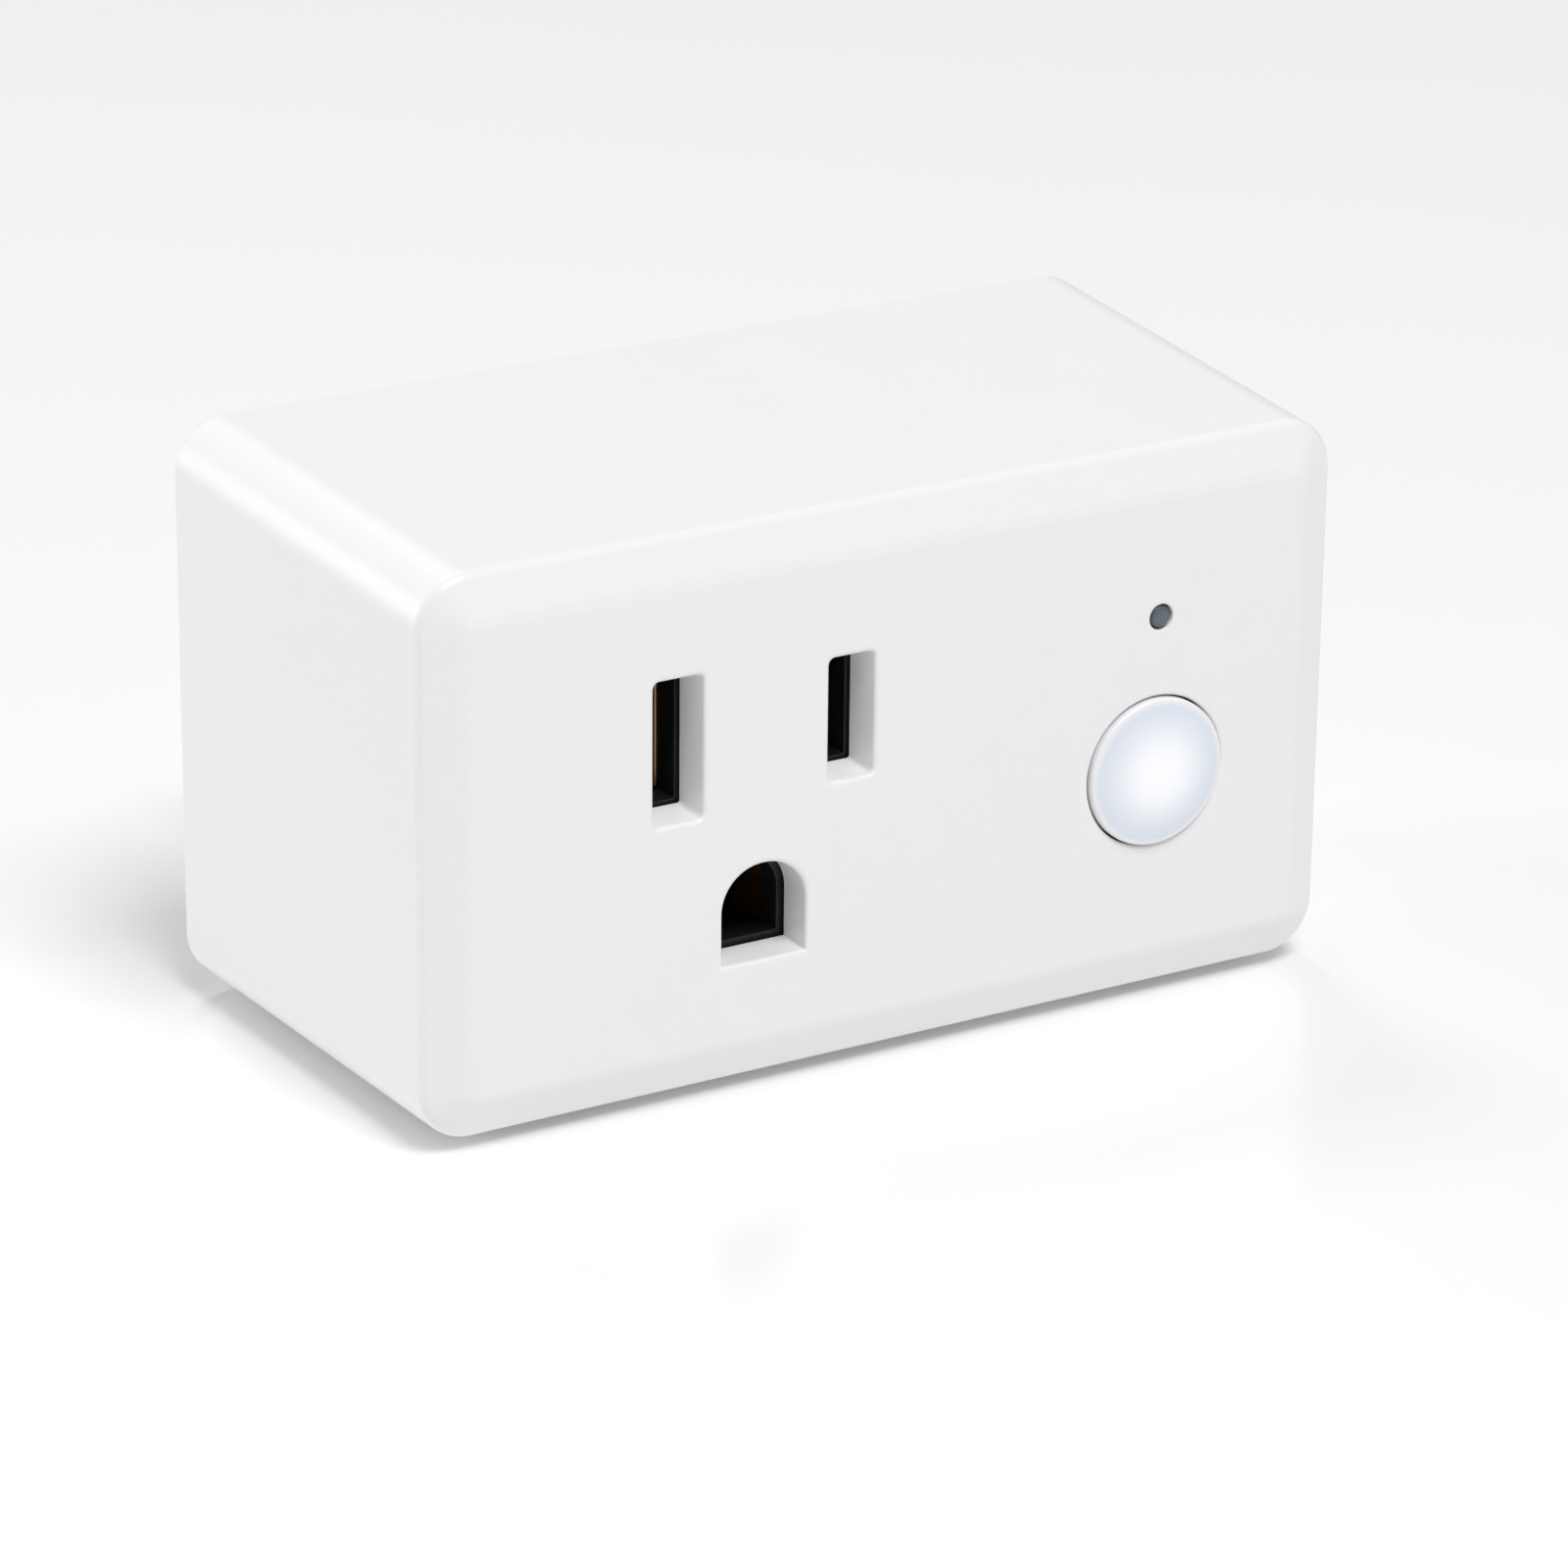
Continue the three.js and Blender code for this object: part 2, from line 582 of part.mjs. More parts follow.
function addBoards() {
  const group = assembly();
  add(group, 'main_board', mainBoardShape(), greenBoard);
  add(group, 'control_board', controlBoardShape(), greenBoard);
  add(group, 'board_header', headerShape(), epoxyBlack, right - header.fromRight, 0, middleZ);
  const wifiDepth = [wifiFront, wifiFront + wifiBoard.thickness];
  const wifi = assembly(wifiX, 0, wifiZ);
  add(wifi, 'wifi_board', block(span(0, wifiBoard.width), wifiDepth, span(0, wifiBoard.height)), blueBoard);
  add(wifi, 'wifi_shield', wifiShieldShape(), steel, 0, 0, wifiShield.offset);
  const chipDepth = [shieldFront, shieldFront + wifiChip.height];
  const chip = block(span(0, wifiChip.side), chipDepth, span(0, wifiChip.side));
  add(wifi, 'wifi_chip', chip, epoxyBlack, 0, 0, wifiShield.offset);
}

// ---- Button, switch and lights ----

// A domed cap with a hollow back, a flange that keeps it in and a stem that works the switch.
function buttonCapShape() {
  const { radius, proud, edge } = button;
  const steps = 6;
  const dome = Array.from({ length: steps + 1 }, (_, i) => {
    const r = (radius * i) / steps;
    return [r, front - edge - (proud - edge) * (1 - (i / steps) ** 2)];
  });
  const flangeFront = wallBack + gap;
  const flangeBack = flangeFront + buttonCap.flangeDepth;
  const crown = front + buttonCap.crown;
  const stemEnd = plungerFront - gap;
  return turned([
    ...dome, [radius, flangeFront], [flangeRadius, flangeFront], [flangeRadius, flangeBack],
    [radius - buttonCap.wall, flangeBack], [radius - buttonCap.wall, crown],
    [buttonCap.stem, crown], [buttonCap.stem, stemEnd], [0, stemEnd],
  ], 48);
}

function tactSwitchShape() {
  const pocketBack = plungerBack + button.travel + gap;
  const side = tactSwitch.side;
  return cut(
    block(span(0, side), [switchFront, switchBack], span(0, side)),
    bar(tactSwitch.plunger + gap, [switchFront - 1, pocketBack]));
}

function lightPipeShape() {
  const collarFront = wallBack + gap;
  const pipeBack = statusLedFront - gap;
  return turned([
    [0, front], [light.radius, front], [light.radius, collarFront], [light.collar, collarFront],
    [light.collar, collarFront + light.collarDepth], [light.radius, collarFront + light.collarDepth],
    [light.radius, pipeBack], [0, pipeBack],
  ]);
}

// A surface-mount LED: a flat body with a smaller lens on its front.
function ledShape({ width, length, height }) {
  const back = controlFront - gap;
  const step = back - height * 0.6;
  return join(
    block(span(0, width), [step, back], span(0, length)),
    block(span(0, width * 0.7), [back - height, step + 0.1], span(0, length * 0.7)));
}

function addControls() {
  const group = assembly(buttonX, 0, buttonZ);
  add(group, 'button_cap', buttonCapShape(), frostedCap);
  add(group, 'tact_switch', tactSwitchShape(), epoxyBlack);
  const plunger = bar(tactSwitch.plunger, [plungerFront, plungerBack]);
  add(group, 'switch_plunger', plunger, bobbinCream);
  [-1, 1].forEach((side, i) => {
    add(group, `button_led_${i + 1}`, ledShape(buttonLed), ledWhite, side * buttonLed.fromAxis);
  });
  const lights = assembly(lightX, 0, lightZ);
  add(lights, 'status_led', ledShape(statusLed), ledWhite);
  add(lights, 'light_pipe', lightPipeShape(), clearPipe);
}

// ---- Relay ----

function relayCase() {
  const outer = block(
    [relayLeft, relayLeft + relay.width], [controlBack + gap, relayBaseFront - gap], [relayBottom, relayTop]);
  const inner = block(
    [relayLeft + relay.wall, relayLeft + relay.width - relay.wall],
    [controlBack + gap + relay.wall, relayBaseFront + 1],
    [relayBottom + relay.wall, relayTop - relay.wall]);
  return cut(outer, inner);
}

function relayBobbin() {
  const flanges = [[coilLeft, coilLeft + coil.flangeDepth], [coilRight - coil.flangeDepth, coilRight]];
  const ends = flanges.map((run) => crossBar(coil.flange, run, coilY, relayZ));
  const barrel = crossBar(coil.barrel, [coilLeft + 0.1, coilRight - 0.1], coilY, relayZ, 20);
  const bore = crossBar(iron.core + gap, [coilLeft - 1, coilRight + 1], coilY, relayZ, 20);
  return cut(join(barrel, ...ends), bore);
}

function relayWinding() {
  const run = [coilLeft + coil.flangeDepth + gap, coilRight - coil.flangeDepth - gap];
  const core = crossBar(coil.barrel + gap, [run[0] - 1, run[1] + 1], coilY, relayZ, 20);
  return cut(crossBar(coil.flange - gap, run, coilY, relayZ), core);
}

// The iron circuit: a back plate, a long plate over the coil, and the core with its pole face.
function relayYoke() {
  const across = span(relayZ, iron.width);
  const plateBack = hingeY + iron.thickness / 2;
  const plateFront = hingeY - iron.thickness / 2;
  return join(
    block([yokeLeft, yokeLeft + iron.thickness], [plateFront, coilY + coil.barrel], across),
    block([yokeLeft, poleRight], [plateFront, plateBack], across),
    crossBar(iron.core, [yokeLeft + 0.2, poleRight - 0.1], coilY, relayZ, 20),
    crossBar(iron.pole, [poleRight - iron.thickness, poleRight], coilY, relayZ, 20));
}

function relayArmature() {
  return block(
    [armatureLeft, armatureLeft + iron.thickness], [hingeY - armature.over, hingeY + armature.reach],
    span(relayZ, armature.width));
}

// A contact strip with a silver button on one side (side is +1 or -1 along X).
function contactStrip(x0, thickness, [y0, y1], buttonY, side) {
  const strip = block([x0, x0 + thickness], [y0, y1], span(relayZ, relayStrip.width));
  const face = side > 0 ? x0 + thickness : x0;
  const ends = [face - side * 0.1, face + side * relayStrip.buttonDepth].sort((a, b) => a - b);
  return join(strip, crossBar(relayStrip.button, ends, buttonY, relayZ, 16));
}

function addRelay() {
  const group = assembly();
  const footprint = [relayBottom, relayTop];
  add(group, 'relay_case', relayCase(), relayBlue);
  const base = block([relayLeft, relayLeft + relay.width], [relayBaseFront, partsBack], footprint);
  add(group, 'relay_base', base, epoxyBlack);
  add(group, 'relay_bobbin', relayBobbin(), bobbinCream);
  add(group, 'relay_winding', relayWinding(), copper);
  add(group, 'relay_yoke', relayYoke(), steel);
  add(group, 'relay_armature', relayArmature(), steel);
  const buttonY = hingeY - armature.over - relayStrip.button;
  const stripFront = buttonY - relayStrip.button;
  const movingRight = stripLeft + relayStrip.thickness + relayStrip.buttonDepth;
  const fixedLeft = movingRight + relayStrip.open + relayStrip.buttonDepth;
  const movingRun = [stripFront, hingeY + armature.reach / 2];
  const moving = contactStrip(stripLeft, relayStrip.thickness, movingRun, buttonY, 1);
  add(group, 'relay_moving_contact', moving, bronze);
  const fixedRun = [stripFront, relayBaseFront - gap];
  const fixed = contactStrip(fixedLeft, relayStrip.fixed, fixedRun, buttonY, -1);
  add(group, 'relay_fixed_contact', fixed, bronze);
}

// ---- Power parts on the main board ----

// A capacitor can along Y with a crimp near its base and a rounded top.
function capacitorCan(radius, height) {
  const groove = -1.6;
  return turned([
    [0, -height], [radius - 0.5, -height], [radius, 0.5 - height], [radius, groove - 0.5],
    [radius - 0.4, groove], [radius, groove + 0.5], [radius, -0.3], [radius - 0.3, 0], [0, 0],
  ]);
}

// A ferrite core with two windows; its middle leg runs along Y.
function transformerCore() {
  const t = transformer;
  const depth = tallSpace * t.share;
  const windowWide = (t.width - t.leg) / 2 - t.outer;
  const frame = block(span(0, t.width), [-depth, 0], span(0, t.core));
  const windows = [-1, 1].map((side) =>
    block(span(side * (t.leg + windowWide) / 2, windowWide), [t.yoke - depth, -t.yoke], span(0, t.core + 2)));
  return cut(frame, ...windows);
}

function transformerWinding() {
  const t = transformer;
  const depth = tallSpace * t.share;
  const inner = t.leg / 2 + gap;
  const outer = t.width / 2 - t.outer - gap;
  const run = [t.yoke + gap - depth, -t.yoke - gap];
  const inside = [run[0] - 1, run[1] + 1];
  const reach = t.core / 2 + gap;
  return cut(
    slab(roundedOutline([-outer, outer], span(0, 2 * (reach + t.spread)), 0.6), run, 3),
    block([-inner, inner], inside, [-reach, reach]));
}

function chokeCore() {
  const { radius, barrel, flange, height } = choke;
  return turned([
    [0, -height], [radius, -height], [radius, flange - height], [barrel, flange - height],
    [barrel, -flange], [radius, -flange], [radius, 0], [0, 0],
  ]);
}

function chokeWinding() {
  const { barrel, flange, height, winding } = choke;
  const run = [flange + gap - height, -flange - gap];
  return cut(bar(winding, run), bar(barrel + gap, [run[0] - 1, run[1] + 1]));
}

// A lens-shaped disc that stands on its edge, axis along X.
function varistorShape() {
  const { radius, thickness } = varistor;
  const half = thickness / 2;
  const disc = turned([
    [0, -half], [radius - 0.8, -half], [radius, -0.4], [radius, 0.4], [radius - 0.8, half], [0, half],
  ]);
  return disc.rotateZ(Math.PI / 2);
}

function boxPart({ width, height, depth }, corner = 0.4) {
  return slab(roundedOutline(span(0, width), span(0, height), corner), [-depth, 0], 2);
}

function addPowerParts() {
  const group = assembly(0, partsBack, 0);
  add(group, 'transformer_core', transformerCore(), ferrite, transformerX, 0, lowRowZ);
  add(group, 'transformer_winding', transformerWinding(), foilYellow, transformerX, 0, lowRowZ);
  add(group, 'choke_core', chokeCore(), ferrite, chokeX, 0, lowRowZ);
  add(group, 'choke_winding', chokeWinding(), copper, chokeX, 0, lowRowZ);
  add(group, 'fuse', boxPart(fuse), fuseBrown, fuseX, 0, lowRowZ);

  const inputZ = highRowBottom + inputCapacitor.radius;
  const inputCan = capacitorCan(inputCapacitor.radius, tallSpace);
  add(group, 'input_capacitor', inputCan, sleeveBlack, inputCapacitorX, 0, inputZ);
  const outputZ = highRowBottom + outputCapacitor.radius;
  const outputCan = capacitorCan(outputCapacitor.radius, tallSpace * outputCapacitor.share);
  add(group, 'output_capacitor', outputCan, sleeveBlack, outputCapacitorX, 0, outputZ);
  const chipZ = highRowBottom + powerChip.height / 2;
  const rectifierZ = chipZ + powerChip.height / 2 + spacing + rectifier.height / 2;
  add(group, 'power_chip', boxPart(powerChip), epoxyBlack, chipLeft + powerChip.width / 2, 0, chipZ);
  const rectifierX = chipLeft + rectifier.width / 2;
  add(group, 'bridge_rectifier', boxPart(rectifier), epoxyBlack, rectifierX, 0, rectifierZ);

  const varistorZ = sideRowBottom + varistor.radius;
  const varistorX = left + varistor.fromLeft;
  add(group, 'varistor', varistorShape(), varistorBlue, varistorX, -varistor.radius, varistorZ);
  const capacitorBottom = varistorZ + varistor.radius + spacing;
  const height = sideRowTop - capacitorBottom;
  const capacitor = boxPart({ ...safetyCapacitor, height }, 0.8);
  const capacitorX = left + safetyCapacitor.fromLeft;
  add(group, 'safety_capacitor', capacitor, foilYellow, capacitorX, 0, capacitorBottom + height / 2);
}

addHousing();
addOutlet();
addBoards();
addControls();
addRelay();
addPowerParts();

export default plug;
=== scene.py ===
"""The looks of a smart plug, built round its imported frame.

Everything is in metres in the frame's own axes: +X is right seen from the front, +Y goes out of
the back into the wall and +Z is up. Sizes in the dataclasses are millimetres.
"""

from __future__ import annotations

import json
import logging
import math
from collections.abc import Callable, Iterator, Sequence
from contextlib import contextmanager
from dataclasses import dataclass
from enum import Enum
from itertools import pairwise

import bmesh
import bpy
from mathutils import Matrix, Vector

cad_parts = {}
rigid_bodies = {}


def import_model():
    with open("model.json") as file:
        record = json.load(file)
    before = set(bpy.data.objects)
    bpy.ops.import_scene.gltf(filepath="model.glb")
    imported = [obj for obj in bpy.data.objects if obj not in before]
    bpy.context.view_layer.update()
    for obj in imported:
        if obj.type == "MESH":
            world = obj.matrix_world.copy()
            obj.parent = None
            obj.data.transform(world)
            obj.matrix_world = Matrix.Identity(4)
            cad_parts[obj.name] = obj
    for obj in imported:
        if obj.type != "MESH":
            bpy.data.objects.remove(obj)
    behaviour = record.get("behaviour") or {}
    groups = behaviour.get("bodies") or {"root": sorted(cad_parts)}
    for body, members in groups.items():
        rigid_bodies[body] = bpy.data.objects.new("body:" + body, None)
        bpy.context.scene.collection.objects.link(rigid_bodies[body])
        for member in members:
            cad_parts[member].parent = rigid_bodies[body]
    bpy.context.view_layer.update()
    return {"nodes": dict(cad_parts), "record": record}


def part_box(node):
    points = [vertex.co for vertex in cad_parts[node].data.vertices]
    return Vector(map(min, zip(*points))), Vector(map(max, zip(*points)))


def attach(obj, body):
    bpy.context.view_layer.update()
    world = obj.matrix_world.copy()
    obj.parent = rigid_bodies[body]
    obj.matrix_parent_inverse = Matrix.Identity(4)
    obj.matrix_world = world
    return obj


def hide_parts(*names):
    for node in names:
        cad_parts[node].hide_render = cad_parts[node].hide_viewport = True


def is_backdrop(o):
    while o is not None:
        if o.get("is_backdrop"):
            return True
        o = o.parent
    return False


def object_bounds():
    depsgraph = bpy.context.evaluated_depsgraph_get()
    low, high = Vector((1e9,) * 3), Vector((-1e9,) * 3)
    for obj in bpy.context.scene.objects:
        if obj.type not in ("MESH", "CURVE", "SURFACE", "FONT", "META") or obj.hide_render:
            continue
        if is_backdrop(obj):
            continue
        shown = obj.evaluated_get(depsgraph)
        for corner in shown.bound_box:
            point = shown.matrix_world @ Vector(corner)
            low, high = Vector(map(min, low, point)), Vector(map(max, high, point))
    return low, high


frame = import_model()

logging.basicConfig(level=logging.INFO, format="%(message)s")
LOG = logging.getLogger("smart_plug")

MM = 0.001
Profile = Sequence[tuple[float, float]]
Colour = tuple[float, float, float]


# ---- The bench: meshes shaped with Blender's own tools ----


class Axis(Enum):
    """The axis that a turned or wound piece lies along."""

    X = 0
    Y = 1
    Z = 2

    def along(self, length: float) -> Vector:
        """A move of that length down the axis."""
        move = Vector()
        move[self.value] = length
        return move

    def across(self, factor: float) -> Vector:
        """The factors that widen a piece about the axis and keep its length."""
        factors = Vector((factor,) * 3)
        factors[self.value] = 1.0
        return factors

    def turn(self) -> tuple[float, float, float]:
        """The turn that lays a flat disc square to the axis."""
        quarter = math.pi / 2
        return {Axis.X: (0.0, quarter, 0.0), Axis.Y: (quarter, 0.0, 0.0), Axis.Z: (0.0, 0.0, 0.0)}[self]


class Kind(Enum):
    """What is picked in edit mode."""

    EDGE = "edges"
    FACE = "faces"


def only(thing: bpy.types.Object) -> None:
    """Selects one object and nothing else."""
    for other in bpy.context.view_layer.objects:
        other.select_set(False)
    thing.select_set(True)
    bpy.context.view_layer.objects.active = thing


def faces(axis: Axis, side: float) -> Callable[[bmesh.types.BMFace], bool]:
    """Makes a test for the faces that look one way.

    Args:
        axis: The axis that they are square to.
        side: +1 or -1, the way that they look along it.

    Returns:
        The test, for Workpiece.pick.
    """
    return lambda face: face.normal[axis.value] * side > 0.99


def edges_along(axis: Axis) -> Callable[[bmesh.types.BMEdge], bool]:
    """A test for the edges that run along an axis, or nearly."""

    def test(edge: bmesh.types.BMEdge) -> bool:
        """True if the edge runs along the axis."""
        run = (edge.verts[1].co - edge.verts[0].co).normalized()
        return abs(run[axis.value]) > 0.98

    return test


def edges_at(axis: Axis, *places: float) -> Callable[[bmesh.types.BMEdge], bool]:
    """A test for the edges that lie wholly at one of some places along an axis, in metres."""

    def test(edge: bmesh.types.BMEdge) -> bool:
        """True if both ends are at the same one of the places."""
        ends = [vert.co[axis.value] for vert in edge.verts]
        return any(all(abs(end - place) < 1e-5 for end in ends) for place in places)

    return test


class Workpiece:
    """A mesh being shaped. Its object stays at the origin, with its place in its mesh."""

    def __init__(self, name: str) -> None:
        """Takes over the object that an add operator has just made.

        Args:
            name: What the piece is called.
        """
        self.thing = bpy.context.view_layer.objects.active
        self.thing.name = self.thing.data.name = name
        bpy.ops.object.transform_apply(location=True, rotation=True, scale=True)

    @classmethod
    def block(cls, name: str, low: Sequence[float], high: Sequence[float]) -> Workpiece:
        """Adds a block.

        Args:
            name: What the piece is called.
            low: Its lowest corner, in metres.
            high: Its highest corner, in metres.

        Returns:
            The new piece.
        """
        low, high = Vector(low), Vector(high)
        bpy.ops.object.select_all(action="DESELECT")
        bpy.ops.mesh.primitive_cube_add(size=1, location=(low + high) / 2, scale=high - low)
        return cls(name)

    @classmethod
    def disc(cls, name: str, centre: Vector, radius: float, axis: Axis, sides: int) -> Workpiece:
        """Adds a filled disc.

        Args:
            name: What the piece is called.
            centre: Its centre, in metres.
            radius: Its radius, in metres.
            axis: The axis that it is square to.
            sides: How many sides it has.

        Returns:
            The new piece.
        """
        bpy.ops.object.select_all(action="DESELECT")
        bpy.ops.mesh.primitive_circle_add(
            vertices=sides, radius=radius, fill_type="NGON", location=centre, rotation=axis.turn()
        )
        return cls(name)

    @classmethod
    def turned(
        cls, name: str, centre: Vector, profile: Profile, axis: Axis = Axis.Y, sides: int = 64
    ) -> Workpiece:
        """Turns a piece: one disc, extruded and resized step by step.

        Args:
            name: What the piece is called.
            centre: A point on its axis, in metres. The profile gives the place along the axis.
            profile: Pairs of radius and place along the axis, in millimetres.
            axis: The axis that it is turned about.
            sides: How many sides it has.

        Returns:
            The new piece.
        """
        start = centre.copy()
        start[axis.value] = profile[0][1] * MM
        piece = cls.disc(name, start, profile[0][0] * MM, axis, sides)
        with piece.editing():
            bpy.ops.mesh.select_all(action="SELECT")
            for (radius, place), (next_radius, next_place) in pairwise(profile):
                piece.extrude(axis.along((next_place - place) * MM))
                if next_radius != radius:
                    piece.resize(axis.across(next_radius / radius), centre)
            bpy.ops.mesh.select_all(action="SELECT")
            bpy.ops.mesh.normals_make_consistent(inside=False)
        return piece

    @classmethod
    def rod(
        cls,
        name: str,
        centre: Vector,
        radius: float,
        start: float,
        end: float,
        sides: int,
        axis: Axis = Axis.Y,
    ) -> Workpiece:
        """Turns a plain rod.

        Args:
            name: What it is called.
            centre: A point on its axis, in metres.
            radius: Its radius, in millimetres.
            start: Where it starts along its axis, in millimetres.
            end: Where it ends, in millimetres.
            sides: How many sides it has.
            axis: Its axis.

        Returns:
            The new piece.
        """
        return cls.turned(name, centre, [(radius, start), (radius, end)], axis, sides)

    @classmethod
    def refined(cls, name: str, node: str, width: float) -> Workpiece:
        """Copies the shape of one of the frame's nodes and rounds its sharp edges off.

        Args:
            name: What the piece is called.
            node: The node whose shape it takes.
            width: How far each round reaches from its edge, in millimetres.

        Returns:
            The new piece.
        """
        source = frame["nodes"][node]
        mesh = source.data.copy()
        mesh.transform(source.matrix_world)
        thing = bpy.data.objects.new(name, mesh)
        bpy.context.scene.collection.objects.link(thing)
        only(thing)
        piece = cls(name)
        with piece.editing():
            bpy.ops.mesh.select_all(action="SELECT")
            bpy.ops.mesh.remove_doubles(threshold=1e-6)
            bpy.ops.mesh.dissolve_limited(angle_limit=math.radians(1))
        piece.modify(
            "BEVEL", width=width * MM, limit_method="ANGLE", angle_limit=math.radians(45), segments=2
        )
        piece.smooth(40)
        return piece

    @contextmanager
    def editing(self) -> Iterator[None]:
        """Opens the piece in edit mode with nothing selected, and closes it again."""
        only(self.thing)
        bpy.ops.object.mode_set(mode="EDIT")
        bpy.ops.mesh.select_all(action="DESELECT")
        yield
        bpy.ops.object.mode_set(mode="OBJECT")

    def pick(self, kind: Kind, wanted: Callable[..., bool]) -> None:
        """Selects the wanted vertices, edges or faces and nothing else, in edit mode.

        Args:
            kind: What is picked.
            wanted: The test that each one is put to.
        """
        bpy.ops.mesh.select_mode(type=kind.name)
        bpy.ops.mesh.select_all(action="DESELECT")
        mesh = bmesh.from_edit_mesh(self.thing.data)
        mesh.normal_update()
        for item in getattr(mesh, kind.value):
            item.select_set(wanted(item))
        mesh.select_flush_mode()
        bmesh.update_edit_mesh(self.thing.data)

    def extrude(self, move: Sequence[float]) -> None:
        """Extrudes what is selected by that move."""
        bpy.ops.mesh.extrude_region_move(TRANSFORM_OT_translate={"value": tuple(move)})

    def resize(self, factors: Sequence[float], centre: Vector) -> None:
        """Resizes what is selected about a centre."""
        bpy.ops.transform.resize(value=tuple(factors), center_override=tuple(centre))

    def bevel(self, wanted: Callable[..., bool], width: float, segments: int, profile: float = 0.5) -> None:
        """Rounds the wanted edges off.

        Args:
            wanted: The test for the edges.
            width: How far the round reaches from the edge, in millimetres.
            segments: How many strips it has.
            profile: Its shape, 0.5 for a round.
        """
        with self.editing():
            self.pick(Kind.EDGE, wanted)
            bpy.ops.mesh.bevel(
                offset=width * MM, segments=segments, profile=profile, affect="EDGES", clamp_overlap=False
            )

    def inset(self, thickness: float, depth: float = 0.0) -> None:
        """Insets the selected faces and moves them out along their normals, in millimetres."""
        bpy.ops.mesh.inset(thickness=thickness * MM, depth=depth * MM, use_even_offset=True)

    def modify(self, kind: str, **settings: object) -> None:
        """Adds a modifier with these settings and applies it."""
        only(self.thing)
        modifier = self.thing.modifiers.new(kind.lower(), kind)
        for name, value in settings.items():
            setattr(modifier, name, value)
        bpy.ops.object.modifier_apply(modifier=modifier.name)

    def combine(self, operation: str, *tools: Workpiece) -> None:
        """Cuts or joins the piece with tools, which are used up.

        Args:
            operation: DIFFERENCE to cut, UNION to join.
            tools: The pieces to cut or join with.
        """
        for tool in tools:
            self.modify("BOOLEAN", operation=operation, object=tool.thing, solver="EXACT")
            bpy.data.meshes.remove(tool.thing.data)

    def cut(self, *tools: Workpiece) -> None:
        """Cuts the tools out of the piece."""
        self.combine("DIFFERENCE", *tools)

    def join(self, *tools: Workpiece) -> None:
        """Joins the tools to the piece."""
        self.combine("UNION", *tools)

    def copy(self, name: str, move: Vector) -> Workpiece:
        """Copies the piece with a mesh of its own.

        Args:
            name: What the copy is called.
            move: How far it is from this one, in metres.

        Returns:
            The copy.
        """
        only(self.thing)
        bpy.ops.object.duplicate(linked=False)
        bpy.ops.transform.translate(value=tuple(move))
        return Workpiece(name)

    def smooth(self, degrees: float = 35.0) -> None:
        """Shades round surfaces smooth and keeps flat ones flat."""
        with self.editing():
            bpy.ops.mesh.select_all(action="SELECT")
            bpy.ops.mesh.remove_doubles(threshold=1e-7)
            bpy.ops.mesh.normals_make_consistent(inside=False)
        only(self.thing)
        bpy.ops.object.shade_smooth_by_angle(angle=math.radians(degrees))
        self.modify("WEIGHTED_NORMAL", mode="FACE_AREA", weight=50, keep_sharp=True)

    def fit(self, body: str, slot: str, material: bpy.types.Material, *nodes: str) -> None:
        """Dresses the finished piece and fixes it to its body.

        Args:
            body: The body that it rides on.
            slot: The record's slot that its finish comes from; it is not used.
            material: Its material.
            nodes: The frame's nodes that it stands for.
        """
        self.thing.data.materials.clear()
        self.thing.data.materials.append(material)
        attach(self.thing, body)
        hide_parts(*nodes)
        LOG.info("%s: %d faces", self.thing.name, len(self.thing.data.polygons))


def middle(node: str) -> Vector:
    """The centre of a frame node, in metres."""
    low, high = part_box(node)
    return (low + high) / 2


def rounding(radius: float, steps: int) -> list[tuple[float, float]]:
    """A quarter round as pairs of how far it is still out and how deep it has gone.

    Args:
        radius: The radius of the round, in millimetres.
        steps: How many steps it takes.

    Returns:
        The pairs, from (radius, 0) to (0, radius).
    """
    turns = [math.pi / 2 * i / steps for i in range(steps + 1)]
    return [(radius * (1 - math.sin(turn)), radius * (1 - math.cos(turn))) for turn in turns]


# ---- Shader graphs ----


